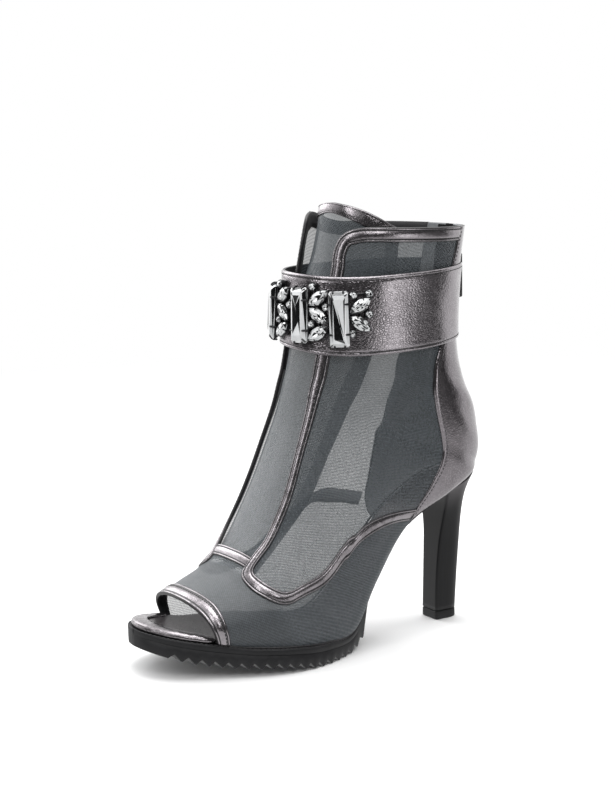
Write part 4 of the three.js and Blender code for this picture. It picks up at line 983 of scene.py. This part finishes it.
def stone_mesh(kind):
    if kind == "baguette":
        o = rectangle(11, 30.5, 1)
        rings = [ring_at(o, 0, 0.94, 0.98), ring_at(o, 1.5, 1, 1), ring_at(o, 2.2, 0.97, 0.985), ring_at(o, 3.9, 0.70, 0.86), ring_at(o, 4.4, 0.5, 0.72)]
        return facet_stone(rings, [[0.6, -3.6, 3.5], [-0.4, 5.2, 4.5]])
    if kind == "marquise":
        o = ALMOND * [7.2, 3.55]
        rings = [ring_at(o, 0, 0.92), ring_at(o, 0.9, 1), ring_at(o, 1.3, 0.96), ring_at(o, 2.3, 0.74, 0.72, True), ring_at(o, 3.0, 0.44, 0.42)]
        return facet_stone(rings, [[0.3, 0, 2.75]])
    a = (np.arange(8) + 0.5) * math.pi / 4
    o = np.column_stack([np.cos(a), np.sin(a)]) * 2.15
    rings = [ring_at(o, 0, 0.9), ring_at(o, 0.6, 1), ring_at(o, 0.9, 0.98), ring_at(o, 1.5, 0.78, 0.78, True), ring_at(o, 2.0, 0.5, 0.5)]
    return facet_stone(rings, [[0, 0, 1.8]])


CLAWS = Joined()
count = {}
for kind, v0, h0, turn in STONES:
    count[kind] = count.get(kind, 0) + 1
    node = f"{kind}_{count[kind]}"
    fr, o = strap_frame(h0, v0, LIFT)
    lv, lf = stone_mesh(kind)
    # triangles, so that each facet is one plane
    tri = []
    for q in lf:
        tri += [q] if len(q) in (3, 8, 10) else [[q[0], q[1], q[2]], [q[0], q[2], q[3]]]
    lv = np.array(lv)
    # painted reflection: each facet gets a random brightness that becomes its colour through the `facet` attribute
    bright = []
    for q in lf:
        c0 = lv[q].mean(0)
        r = hash01(c0[0] * 0.9 + v0 * 31, c0[1] * 0.7 + h0 * 17, c0[2] + count[kind])
        painted_glint = r ** 0.5 if r > 0.36 else r * 0.3
        # painted shade: the facets near the base are drawn darker
        if c0[2] < 1.2:
            painted_glint *= 0.45
        bright += [painted_glint] if len(q) in (3, 8, 10) else [painted_glint, painted_glint]
    make(node + "_cut", place(lv, fr, o, turn), tri, [M_CRYSTAL], attrs={"facet": ("FACE", bright)}, flat=True, slot="crystal", replaces=(node,))
    # claws
    if kind == "baguette":
        spots = [(sx, sy) for sx in (-1, 1) for sy in (-0.27, 0.27)]
        for sx, sy in spots:
            y = sy * 30.5
            path = [[sx * 5.9, y, -0.6], [sx * 5.95, y, 1.4], [sx * 5.5, y, 2.5], [sx * 4.6, y, 3.25], [sx * 3.7, y, 3.95]]
            cv, cf = tube(place(path, fr, o, turn), [0.6, 0.6, 0.62, 0.6, 0.5], n=8, up=fr[1])
            CLAWS.add(cv, cf)
        for sy in (-1, 1):
            for x in (-2.8, 2.8):
                path = [[x, sy * 15.7, -0.6], [x, sy * 15.7, 1.3], [x, sy * 15.2, 2.3], [x, sy * 14.4, 3.0]]
                cv, cf = tube(place(path, fr, o, turn), 0.5, n=8, up=fr[0])
                CLAWS.add(cv, cf)
    elif kind == "marquise":
        for x, y in ((3.6, 1), (-3.6, 1), (3.6, -1), (-3.6, -1)):
            k = 2.55 if abs(x) > 3 else 3.2
            path = [[x * 1.02, y * k, -0.6], [x, y * k, 0.9], [x * 0.94, y * (k - 0.5), 1.7], [x * 0.86, y * (k - 1.1), 2.1]]
            cv, cf = tube(place(path, fr, o, turn), 0.36, n=7, up=fr[2])
            CLAWS.add(cv, cf)
        for x in (-1, 1):
            path = [[x * 7.25, 0, -0.6], [x * 7.2, 0, 0.9], [x * 6.6, 0, 1.6], [x * 5.9, 0, 1.9]]
            cv, cf = tube(place(path, fr, o, turn), 0.42, n=7, up=fr[1])
            CLAWS.add(cv, cf)
    else:
        for k in range(4):
            a = k * math.pi / 2 + 0.4
            path = [[math.cos(a) * r, math.sin(a) * r, z] for r, z in ((1.95, -0.6), (1.95, 0.7), (1.65, 1.25), (1.3, 1.5))]
            cv, cf = tube(place(path, fr, o, turn), 0.27, n=6, up=fr[2])
            CLAWS.add(cv, cf)

# dark cups round the stones, joined by bars underneath
CUPS = Joined()
spots = []
for kind, v0, h0, turn in STONES:
    fr, o = strap_frame(h0, v0, LIFT)
    if kind == "baguette":
        line, grow = rectangle(11, 30.5, 1.6), 0.35
    elif kind == "marquise":
        line, grow = ALMOND * [7.2, 3.55], 0.3
    else:
        a = (np.arange(12) + 0.5) * math.pi / 6
        line, grow = np.column_stack([np.cos(a), np.sin(a)]) * 2.15, 0.25
    far = np.abs(line).max(0)
    k = (far + grow) / far
    cv, cf = loft([ring_at(line, z, k[0] * q, k[1] * q) for z, q in ((-2.3, 0.8), (-1.4, 0.88), (-0.2, 0.95), (0.45, 1.0), (0.7, 0.985), (0.65, 0.93), (-0.1, 0.9))])
    CUPS.add(place(cv, fr, o, turn), cf)
    spots.append((kind, o, fr))
for a in range(len(spots)):
    near = sorted((float(np.linalg.norm(spots[a][1] - spots[b][1])), b) for b in range(len(spots)) if b != a)
    for dist, b in near[:3]:
        if b > a or dist > 9:
            p, q = spots[a][1] - spots[a][2][2] * 1.8, spots[b][1] - spots[b][2][2] * 1.8
            pts = [lerp(p, q, t) for t in np.linspace(0, 1, 7)]
            cv, cf = tube(pts, 0.55, n=7, up=spots[a][2][2])
            CUPS.add(cv, cf)
CUPS.object("setting_cups", [M_METAL], slot="dark_metal", replaces=("setting",))

# ------------------------------------------------------------------ sole unit
def offset_board(grow):
    def side(col, sign):
        ys, y = [], float(BOARD[0, 0])
        while y <= 17:
            ys.append(y)
            y += 0.1 if y < -190 else 1
        ys = np.array(ys)
        r = np.where(ys < -188, 0.3, 3.0)
        x = sum(np.interp(ys + k * r / 2, BOARD[:, 0], BOARD[:, col]) for k in (-2, -1, 0, 1, 2)) / 5
        out = []
        for k in range(len(ys)):
            a, b = max(0, k - 1), min(len(ys) - 1, k + 1)
            dx, dy = x[b] - x[a], ys[b] - ys[a]
            ln = math.hypot(dx, dy) or 1
            g = float(grow(ys[k]))
            nx, ny = (0, -1) if k == 0 else (sign * dy / ln, -sign * dx / ln)
            yy = ys[k] + g * ny
            if not out or yy > out[-1][0] + 0.02:
                out.append((yy, x[k] + g * nx))
        return np.array(out)
    l, m = side(2, 1), side(1, -1)
    return (lambda y: np.interp(y, l[:, 0], l[:, 1])), (lambda y: np.interp(y, m[:, 0], m[:, 1])), max(l[0, 0], m[0, 0])


edge_l, edge_m, tip = offset_board(lambda y: lerp(2.2, 0.4, smooth((y + 100) / 34)))
stations = [(tip + d, None) for d in (0.03, 0.12, 0.3, 0.6, 1.0, 1.6, 2.4, 3.4, 4.6, 5.9, 7.3)]
FIRST, PITCH, DEPTH, FLAT = -190.6, 6.3, 2.3, 1.2
for k in range(20):
    y = FIRST + k * PITCH
    if k:
        stations.append((y - PITCH / 2 + 0.12, DEPTH + 0.5))
    stations += [(y - 0.42, 0.0), (y + 0.42, 0.0)]
    if k < 19:
        stations.append((y + PITCH / 2 - 0.12, DEPTH + 0.5))
rows = [(y, float(tread_z(y)) + (t or 0.0)) for y, t in stations]
for (y0, z0), (y1, z1) in zip(BREAST[:-1], BREAST[1:]):
    for q in (0, 0.34, 0.67):
        rows.append((lerp(y0, y1, q), lerp(z0, z1, q)))
rows.append(tuple(BREAST[-1]))
rows = np.array(sorted(rows))
keep = np.concatenate([[True], np.diff(rows[:, 0]) > 0.02])
rows = rows[keep]
loops = []
for y, z in rows:
    xl, xm = float(edge_l(y)), float(edge_m(y))
    top = float(board_z(y)) - GAP - 0.42 * float(smooth((y + 85) / 10))
    thick = top - z
    soft = min(0.9, 0.3 * (xl - xm), 0.3 * thick)
    smoothline = float(tread_z(min(y, -70.6)))
    zg = top - 0.3 * (top - smoothline) if y < -70 else top - 0.4 * thick
    dep = 0.42 * float(1 - smooth((y + 88) / 14)) * min(1, (xl - xm) / 14)
    k = lerp(0.985, 1, float(smooth((y + 75) / 10)))
    half = [(0.0, top), (0.5, top), (0.86, top)]
    L = []
    for s, xe in ((1, xl), (-1, xm)):
        cx = (xl + xm) / 2
        w = abs(xe - cx)
        at = lambda inset: cx + s * (w - inset)
        pts = [(cx + s * w * 0.5, top), (at(soft * 1.9), top), (at(soft), top - 0.02), (at(soft * 0.3), top - soft * 0.3), (at(0.0), top - soft),
               (at(0.0), max(zg + 0.38, z + 0.5)), (at(dep), max(zg + 0.2, z + 0.4)), (at(dep), max(zg - 0.2, z + 0.35)), (at(0.0), max(zg - 0.38, z + 0.3)),
               (lerp(cx, at(0.0), 1 - (1 - k) * 0.6), lerp(max(zg - 0.38, z + 0.3), z + 0.25, 0.6)), (cx + s * w * k, z + min(0.3, thick * 0.1)), (cx + s * (w * k - min(0.45, 0.2 * w)), z), (cx + s * w * 0.5, z)]
        L.append(pts)
    loop = [((xl + xm) / 2, top)] + L[0] + [((xl + xm) / 2, z)] + L[1][::-1]
    loops.append([[x, y, zz] for x, zz in loop])
v3, f3 = loft(loops)
sole = make("platform", v3, [q[::-1] for q in f3], [M_RUBBER], slot="sole_rubber", replaces=("outsole",))

# row of welt stitches on the sole's top edge, and the black piping where upper and sole meet
ys = np.concatenate([tip + np.geomspace(1.3, 12, 14), np.arange(tip + 13, -84, 1.2)])
for side in (1, -1):
    fn = edge_l if side == 1 else edge_m
    x = fn(ys) - side * 0.95
    Q = np.column_stack([x, ys, board_z(ys) - GAP + 0.02])
    stitch_row(Q, np.tile([0, 0, 1.0], (len(Q), 1)), pitch=2.6, length=1.8, radius=0.3, to=WELT_STITCHES)
for side, word in ((1, "lateral"), (-1, "medial")):
    us = np.linspace(0.0, 8.75, 180)
    Q = last(us, side * 0.992, 0.15)
    pv, pf = tube(Q, 0.62, n=8, up=(0, 0, 1))
    make(f"feather_line_{word}", pv, pf, [M_EDGE], slot="sole_rubber")

# ------------------------------------------------------------------ insole: sock and rolled rim
clear = lambda y: lerp(0.2, WALL + GAP + 1.7, smooth((y + 171) / 4)) - 0.6 * smooth((y + 88) / 10) + 2.2 * smooth((y + 12) / 20)
in_l, in_m, in_tip = offset_board(lambda y: -float(clear(y)))
ys = np.concatenate([in_tip + np.array([0.06, 0.2, 0.5, 0.9, 1.5, 2.3, 3.3, 4.5, 6, 8]), np.arange(in_tip + 10, 9, 2.0)])
lanes = np.array([-1, -0.985, -0.95, -0.88, -0.78, -0.6, -0.4, -0.2, 0, 0.2, 0.4, 0.6, 0.78, 0.88, 0.95, 0.985, 1])
Y, L = np.meshgrid(ys, lanes, indexing="ij")
X = lerp(in_m(Y), in_l(Y), (L + 1) / 2)
rimh = lerp(3.1, 2.3, smooth((Y + 172) / 16))
top = np.stack([X, Y, board_z(Y) + rimh - 0.9 * (np.abs(L) ** 24) - 0.35 * (1 - np.abs(L) ** 3)], -1)
bot = np.stack([X, Y, board_z(Y) + 0.1], -1)
n, cc = top.shape[:2]
f, i, j = grid_faces(n, cc)
faces = [list(q) for q in f] + [[a + n * cc for a in q[::-1]] for q in f.tolist()]
ring = [(k * cc, (k + 1) * cc) for k in range(n - 1)] + [((k + 1) * cc + cc - 1, k * cc + cc - 1) for k in range(n - 1)]
ring += [((n - 1) * cc + k, (n - 1) * cc + k + 1) for k in range(cc - 1)] + [(k + 1, k) for k in range(cc - 1)]
faces += [[b, a, a + n * cc, b + n * cc] for a, b in ring]
make("sock", np.concatenate([top.reshape(-1, 3), bot.reshape(-1, 3)]), faces, [M_SOCK], slot="insole_leather", replaces=("insole",))

# the rim: a rolled band along the board's edge round the open toe
ya = np.concatenate([np.arange(-166, -186, -1.5), np.array([-187.5, -189, -190.5, -192, -193.2, -194.4, -195.4, -196.2, -196.9, -197.4, -197.75, -197.93])])
right = np.column_stack([in_l(ya), ya])
left = np.column_stack([in_m(ya), ya])[::-1]
edge = np.vstack([right, left])
edge = resample(edge, 1.2)
edge = np.column_stack([np.convolve(np.pad(edge[:, c], 2, mode="edge"), np.ones(5) / 5, "valid") for c in (0, 1)])
tan = unit(np.gradient(edge, axis=0))
inw = np.column_stack([-tan[:, 1], tan[:, 0]])
centre = np.array([-5.0, -176.0])
inw *= np.sign(np.sum(inw * (centre - edge), 1))[:, None]
w = 8.6 * np.ones(len(edge))
prof = [(-0.35, 0.15), (-0.62, 0.9), (-0.5, 1.9), (0.1, 2.75), (1.0, 3.25), (2.4, 3.5), (4.4, 3.45), (6.4, 3.2), (7.9, 2.95), (8.5, 2.6), (8.3, 2.2), (4.0, 1.4)]
rows = []
for k in range(len(edge)):
    crease = 0.14 * math.sin(k * 1.15) * math.sin(k * 0.37 + 1)
    rows.append([[*(edge[k] + inw[k] * a * (1 if a < 0 else w[k] / 8.6)), float(board_z(edge[k, 1])) + b + (crease if 0.5 < b else 0)] for a, b in prof])
rows = np.array(rows)
n = len(prof)
f, i, j = grid_faces(len(rows), n, closed=True)
faces = [list(q) for q in f] + [list(range(n))[::-1], list(range((len(rows) - 1) * n, len(rows) * n))]
rim = make("insole_rim", rows.reshape(-1, 3), faces, [M_RIM], slot="insole_leather")

# ------------------------------------------------------------------ heel
def heel_loop(r, n=72, inset=0.0, z=None):
    fy, fz, by, bz, w, rn = r
    w -= inset
    f0, b0 = fy + inset, by - inset
    zz = (lambda y: lerp(fz, bz, (y - fy) / (by - fy))) if z is None else (lambda y: z)
    pts = []
    for t in np.linspace(0, 1, 12)[:-1]:
        pts.append((lerp(0, w - 1.3, t), f0))
    for a in np.linspace(0, math.pi / 2, 5)[:-1]:
        pts.append((w - 1.3 + 1.3 * math.sin(a), f0 + 1.3 - 1.3 * math.cos(a)))
    mid = lerp(f0, b0, 0.42)
    pts.append((w, f0 + 1.3))
    pts.append((w * 1.006, lerp(f0 + 1.3, mid, 0.5)))
    k = (n - 2 * len(pts) + 2) // 2
    for q in range(0, 2 * k + 1):
        a = q / (2 * k) * math.pi
        pts.append((w * 1.01 * np.sign(math.cos(a)) * abs(math.cos(a)) ** (2 / rn), mid + (b0 - mid) * math.sin(a) ** (2 / rn)))
    first = 11 + 4 + 2
    mirror = [(-x, y) for x, y in pts[1:first][::-1]]
    pts = pts + mirror
    return np.array([[x, y, zz(y)] for x, y in pts])


H = catmull_path(HEEL, 7)
loops = [heel_loop(r) for r in H]
hv, hf = loft(loops)
make("heel_cover", hv, hf, [M_HEEL], slot="heel_cover", replaces=("heel",))
r0 = HEEL[0].copy()
tip_loops = [heel_loop(r0, inset=0.55, z=0.0), heel_loop(r0, inset=0.15, z=0.25), heel_loop(r0, inset=0.0, z=0.7), heel_loop(r0, inset=0.0, z=4.6), heel_loop(r0, inset=0.12, z=5.0), heel_loop(r0, inset=0.35, z=5.15)]
tv, tf = loft(tip_loops)
make("top_piece", tv, tf, [M_TIPRUB], slot="top_piece_rubber", replaces=("heel_tip",))

# ------------------------------------------------------------------ zip
us = np.linspace(U_ZIP + 0.06, 16.0, 110)
xs = np.linspace(-3.15, 3.15, 9)
U, X = np.meshgrid(us, xs, indexing="ij")
o, q = back_point(U, X, -0.45), back_point(U, X, -1.25)
n, cc = o.shape[:2]
f, i, j = grid_faces(n, cc)
faces = [list(a) for a in f] + [[a + n * cc for a in b[::-1]] for b in f.tolist()]
ring = [(k * cc, (k + 1) * cc) for k in range(n - 1)] + [((k + 1) * cc + cc - 1, k * cc + cc - 1) for k in range(n - 1)]
ring += [((n - 1) * cc + k, (n - 1) * cc + k + 1) for k in range(cc - 1)] + [(k + 1, k) for k in range(cc - 1)]
faces += [[b, a, a + n * cc, b + n * cc] for a, b in ring]
make("zip_tape_cloth", np.concatenate([o.reshape(-1, 3), q.reshape(-1, 3)]), faces, [M_TAPE], uv=None, slot="zip_tape", replaces=("zip_tape",))
# the tape's wings, sewn down inside on the facing
xs = np.linspace(-9.4, 9.4, 15)
us = np.linspace(U_ZIP - 0.25, 15.97, 90)
U, X = np.meshgrid(us, xs, indexing="ij")
wing_out, wing_in = back_point(U, X, -1.64), back_point(U, X, -2.15)
n, cc = wing_out.shape[:2]
f, i, j = grid_faces(n, cc)
faces = [list(a) for a in f] + [[a + n * cc for a in b[::-1]] for b in f.tolist()]
ring = [(k * cc, (k + 1) * cc) for k in range(n - 1)] + [((k + 1) * cc + cc - 1, k * cc + cc - 1) for k in range(n - 1)]
ring += [((n - 1) * cc + k, (n - 1) * cc + k + 1) for k in range(cc - 1)] + [(k + 1, k) for k in range(cc - 1)]
faces += [[b, a, a + n * cc, b + n * cc] for a, b in ring]
make("zip_tape_wings", np.concatenate([wing_out.reshape(-1, 3), wing_in.reshape(-1, 3)]), faces, [M_TAPE], slot="zip_tape")
TEETH = Joined()
line = resample(np.column_stack([np.linspace(U_ZIP + 0.2, 15.97, 400)]), 1, key=back_point(np.linspace(U_ZIP + 0.2, 15.97, 400), 0, 0))
length = len(line)
uu = np.interp(np.arange(0, (length - 1), 1.25), np.arange(length), line[:, 0])
for k, u0 in enumerate(uu):
    s = 1 if k % 2 else -1
    c0 = back_point(u0, 0, -0.35)
    upv = unit(back_point(u0 + 0.05, 0, -0.35) - back_point(u0 - 0.05, 0, -0.35))
    outv = unit(back_point(u0, 0, 0.65) - c0)
    sidev = np.cross(upv, outv)
    a = c0 + sidev * (s * 1.5)
    b = c0 - sidev * (s * 0.35)
    tv, tf = tube([a, lerp(a, b, 0.5) + outv * 0.05, b], [0.5, 0.5, 0.42], n=6, up=outv, flatten=0.9)
    TEETH.add(tv, tf)
TEETH.object("zip_teeth", [M_METAL], slot="zip_tape")

PIN = np.array([0, 14.445, 223.873])


def rounded_plate(w, y0, y1, z0, z1, c=1.0, e=0.25, k=6):
    """A plate with round corners and softened edges: local X across, Y along, Z through."""
    out = []
    for cx, cy, a0 in ((w / 2 - c, y0 + c, -90), (w / 2 - c, y1 - c, 0), (-w / 2 + c, y1 - c, 90), (-w / 2 + c, y0 + c, 180)):
        for q in range(k + 1):
            a = math.radians(a0 + 90 * q / k)
            out.append((cx, cy, math.cos(a), math.sin(a)))
    loops = []
    for z, ins in ((z0, e), (z0 + e * 0.3, e * 0.3), (z0 + e, 0), (z1 - e, 0), (z1 - e * 0.3, e * 0.3), (z1, e)):
        loops.append([[cx + dx * (c - ins), cy + dy * (c - ins), z] for cx, cy, dx, dy in out])
    return loft(loops)


def to_frame(v, rows, origin):
    return np.asarray(v) @ np.array(rows) + origin


# slider, square to the seam
U_SL = 15.62
a, b = back_point(U_SL - 0.2, 0, 0), back_point(U_SL + 0.2, 0, 0)
up = unit(b - a)
rt = np.array([-1.0, 0, 0])
SL = (np.array([rt, up, np.cross(rt, up)]), back_point(U_SL, 0, 0))
J = Joined()
v_, f_ = rounded_plate(7.4, -5, 5, 0.35, 1.9, 1.8, 0.3)
J.add(to_frame(v_, *SL), f_)
for s in (-1, 1):
    prof = np.array([[-2.2, 1.7], [2.2, 1.7], [2.1, 4.3], [1.7, 5.7], [0.9, 6.5], [-0.9, 6.5], [-1.7, 5.7], [-2.1, 4.3]])
    loops = [np.column_stack([np.full(8, s * x), prof[:, 0] * k, (prof[:, 1] - 4.3) * k + 4.3]) for x, k in ((2.1, 0.93), (2.25, 1), (3.15, 1), (3.3, 0.93))]
    ev, ef = loft(loops)
    J.add(to_frame(ev, *SL), ef if s > 0 else [q[::-1] for q in ef])
J.object("slider", [M_METAL], slot="dark_metal", replaces=("zip_slider",))

# pull: pin, neck and leather tab with turned edge
PF = (np.array([[-1.0, 0, 0], [0, 0, 1.0], [0, 1.0, 0]]), PIN)
J = Joined()
a = np.arange(14) * 2 * math.pi / 14
loops = [np.column_stack([np.full(14, x), r * np.cos(a), r * np.sin(a)]) for x, r in ((-3.3, 0.6), (-3.15, 0.82), (3.15, 0.82), (3.3, 0.6))]
pv, pf = loft(loops)
J.add(to_frame(pv, *PF), pf, 1)
v_, f_ = rounded_plate(3.2, -9, 0.6, -0.65, 0.65, 0.6, 0.2)
J.add(to_frame(v_, *PF), f_, 1)
v_, f_ = rounded_plate(7.4, -33, -7, -1.15, 1.15, 1.3, 0.4)
J.add(to_frame(v_, *PF), f_, 0)
for s in (-1, 1):  # raised seam round the tab's face
    for z in (-1.12, 1.12):
        path = [[s * 2.6, -8.4, z], [s * 2.6, -31.6, z]]
        v_, f_ = tube(to_frame(np.array([lerp(np.array(path[0]), np.array(path[1]), q) for q in np.linspace(0, 1, 14)]), *PF), 0.16, n=6, up=(0, 1, 0))
        J.add(v_, f_, 2)
J.object("pull_tab", [M_PULL, M_METAL, M_THREAD], body="pull", slot="pull_leather", replaces=("zip_pull",))

CLAWS.object("claws", [M_METAL], slot="dark_metal")
STITCHES.object("stitches", [M_THREAD], slot="strap_leather")
WELT_STITCHES.object("welt_stitches", [M_THREAD], slot="sole_rubber")

# ------------------------------------------------------------------ studio
def stage_mesh(name, verts, faces, mat):
    me = bpy.data.meshes.new(name)
    me.from_pydata([tuple(x) for x in verts], [], faces)
    me.materials.append(mat)
    ob = bpy.data.objects.new(name, me)
    bpy.context.scene.collection.objects.link(ob)
    ob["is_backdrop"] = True
    return ob


fm = Mat("floor")
c = fm.coords()
dist = fm.node("ShaderNodeVectorMath", dict(operation="LENGTH"), Vector=c).outputs["Value"]
fm.set(Base_Color=(0.93, 0.93, 0.93), Roughness=0.6)
fm.p.inputs["Specular IOR Level"].default_value = 0.1
em = fm.node("ShaderNodeEmission", Color=(1, 1, 1), Strength=1.0)
mixs = fm.node("ShaderNodeMixShader")
fm.put(mixs.inputs[0], fm.range(dist, 0.25, 1.1, 0.0, 1.0, True))
fm.t.links.new(fm.p.outputs[0], mixs.inputs[1])
fm.t.links.new(em.outputs[0], mixs.inputs[2])
# what the boot's finish mirrors: white paper near it and behind it, darker towards the camera
STUDIO = (((-0.85, 0.53, 0), 0.16, 0.44, 1.1), ((0.94, 0.29, -0.14), 0.968, 0.993, 2.2), ((0.75, 0.62, -0.15), 0.88, 0.98, 0.12))
way = fm.node("ShaderNodeVectorMath", dict(operation="NORMALIZE"), Vector=c).outputs[0]
far_tone = 0.04
for axis, low_at, high_at, power in STUDIO:
    dot = fm.node("ShaderNodeVectorMath", dict(operation="DOT_PRODUCT"), Vector=way)
    dot.inputs[1].default_value = Vector((axis[0], axis[1], 0)).normalized()
    far_tone = fm.math("ADD", far_tone, fm.range(dot.outputs["Value"], low_at, high_at, 0.0, power, True))
tone = fm.math("ADD", fm.math("MULTIPLY", far_tone, fm.range(dist, 0.26, 0.7, 0.0, 1.0, True)), fm.range(dist, 0.26, 0.7, 1.0, 0.0, True))
em2 = fm.node("ShaderNodeEmission", Color=(1, 1, 1), Strength=tone)
lpf = fm.node("ShaderNodeLightPath")
mix2 = fm.node("ShaderNodeMixShader")
fm.t.links.new(lpf.outputs["Is Camera Ray"], mix2.inputs[0])
fm.t.links.new(em2.outputs[0], mix2.inputs[1])
fm.t.links.new(mixs.outputs[0], mix2.inputs[2])
outn = next(n for n in fm.t.nodes if n.type == "OUTPUT_MATERIAL")
fm.t.links.new(mix2.outputs[0], outn.inputs["Surface"])
ang = np.linspace(0, 2 * math.pi, 65)[:-1]
R = 30.0
stage_mesh("floor", [(R * math.cos(a), R * math.sin(a), 0) for a in ang], [list(range(64))], fm.m)

world = bpy.data.worlds.new("studio")
bpy.context.scene.world = world
world.use_nodes = True
wt = world.node_tree
wt.nodes.clear()
out = wt.nodes.new("ShaderNodeOutputWorld")
seen = wt.nodes.new("ShaderNodeBackground")
seen.inputs[0].default_value = (1, 1, 1, 1)
seen.inputs[1].default_value = 1.0
light = wt.nodes.new("ShaderNodeBackground")
tc = wt.nodes.new("ShaderNodeTexCoord")


def glow(axis, a, b, power):
    """A soft bright region of the studio round one direction."""
    d = wt.nodes.new("ShaderNodeVectorMath")
    d.operation = "DOT_PRODUCT"
    wt.links.new(tc.outputs["Generated"], d.inputs[0])
    d.inputs[1].default_value = Vector(axis).normalized()
    r = wt.nodes.new("ShaderNodeMapRange")
    r.interpolation_type = "SMOOTHSTEP"
    wt.links.new(d.outputs["Value"], r.inputs[0])
    for sock, x in zip(list(r.inputs)[1:5], (a, b, 0.0, power)):
        sock.default_value = x
    return r.outputs[0]


total = None
for part in [glow(*row) for row in STUDIO] + [glow((0, 0, 1), 0.5, 0.8, 0.95), glow((0.35, -0.9, 0.4), 0.9, 0.985, 0.7), glow((-0.75, -0.6, 0.3), 0.8, 0.93, 0.8)]:
    if total is None:
        total = part
        continue
    add = wt.nodes.new("ShaderNodeMath")
    add.operation = "ADD"
    wt.links.new(total, add.inputs[0])
    wt.links.new(part, add.inputs[1])
    total = add.outputs[0]
add = wt.nodes.new("ShaderNodeMath")
add.operation = "ADD"
wt.links.new(total, add.inputs[0])
add.inputs[1].default_value = 0.045
wt.links.new(add.outputs[0], light.inputs[1])
light.inputs[0].default_value = (1, 1, 1, 1)
lp = wt.nodes.new("ShaderNodeLightPath")
mx = wt.nodes.new("ShaderNodeMixShader")
wt.links.new(lp.outputs["Is Camera Ray"], mx.inputs[0])
wt.links.new(light.outputs[0], mx.inputs[1])
wt.links.new(seen.outputs[0], mx.inputs[2])
wt.links.new(mx.outputs[0], out.inputs[0])


def area(name, loc, target, size, power, colour=(1, 1, 1)):
    L = bpy.data.lights.new(name, "AREA")
    L.shape = "RECTANGLE"
    L.size, L.size_y = size
    L.energy = power
    L.color = colour
    ob = bpy.data.objects.new(name, L)
    bpy.context.scene.collection.objects.link(ob)
    ob.location = loc
    ob.rotation_mode = "QUATERNION"
    ob.rotation_quaternion = (Vector(target) - Vector(loc)).to_track_quat("-Z", "Y")
    return ob


mid = (0, -0.09, 0.11)
area("key", (0.25, -1.2, 0.9), mid, (0.28, 1.2), 4)
area("top", (0.0, 0.0, 1.5), mid, (1.1, 1.1), 14)
area("far", (-1.1, -0.3, 0.7), mid, (0.7, 0.9), 5)
area("fill", (1.1, -0.35, 0.95), mid, (0.6, 0.4), 3)

# ------------------------------------------------------------------ camera
C = np.array([837.807, -610.166, 307.815]) * MM
FW = np.array([-0.83760722, 0.51999479, -0.16739046])
RT = np.array([0.52991926, 0.84786111, -0.0178077])
UP = np.array([-0.13266395, 0.10361929, 0.98572984])
cam = bpy.data.cameras.new("camera")
cam.sensor_width = 36
cam.lens = 1785.7 * 36 / 800
cam.clip_start, cam.clip_end = 0.01, 100
co = bpy.data.objects.new("camera", cam)
bpy.context.scene.collection.objects.link(co)
co.matrix_world = Matrix([[RT[0], UP[0], -FW[0], C[0]], [RT[1], UP[1], -FW[1], C[1]], [RT[2], UP[2], -FW[2], C[2]], [0, 0, 0, 1]])
bpy.context.scene.camera = co
bpy.context.scene.view_settings.view_transform = "Standard"
bpy.context.scene.view_settings.look = "None"

bpy.context.view_layer.update()
low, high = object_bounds()
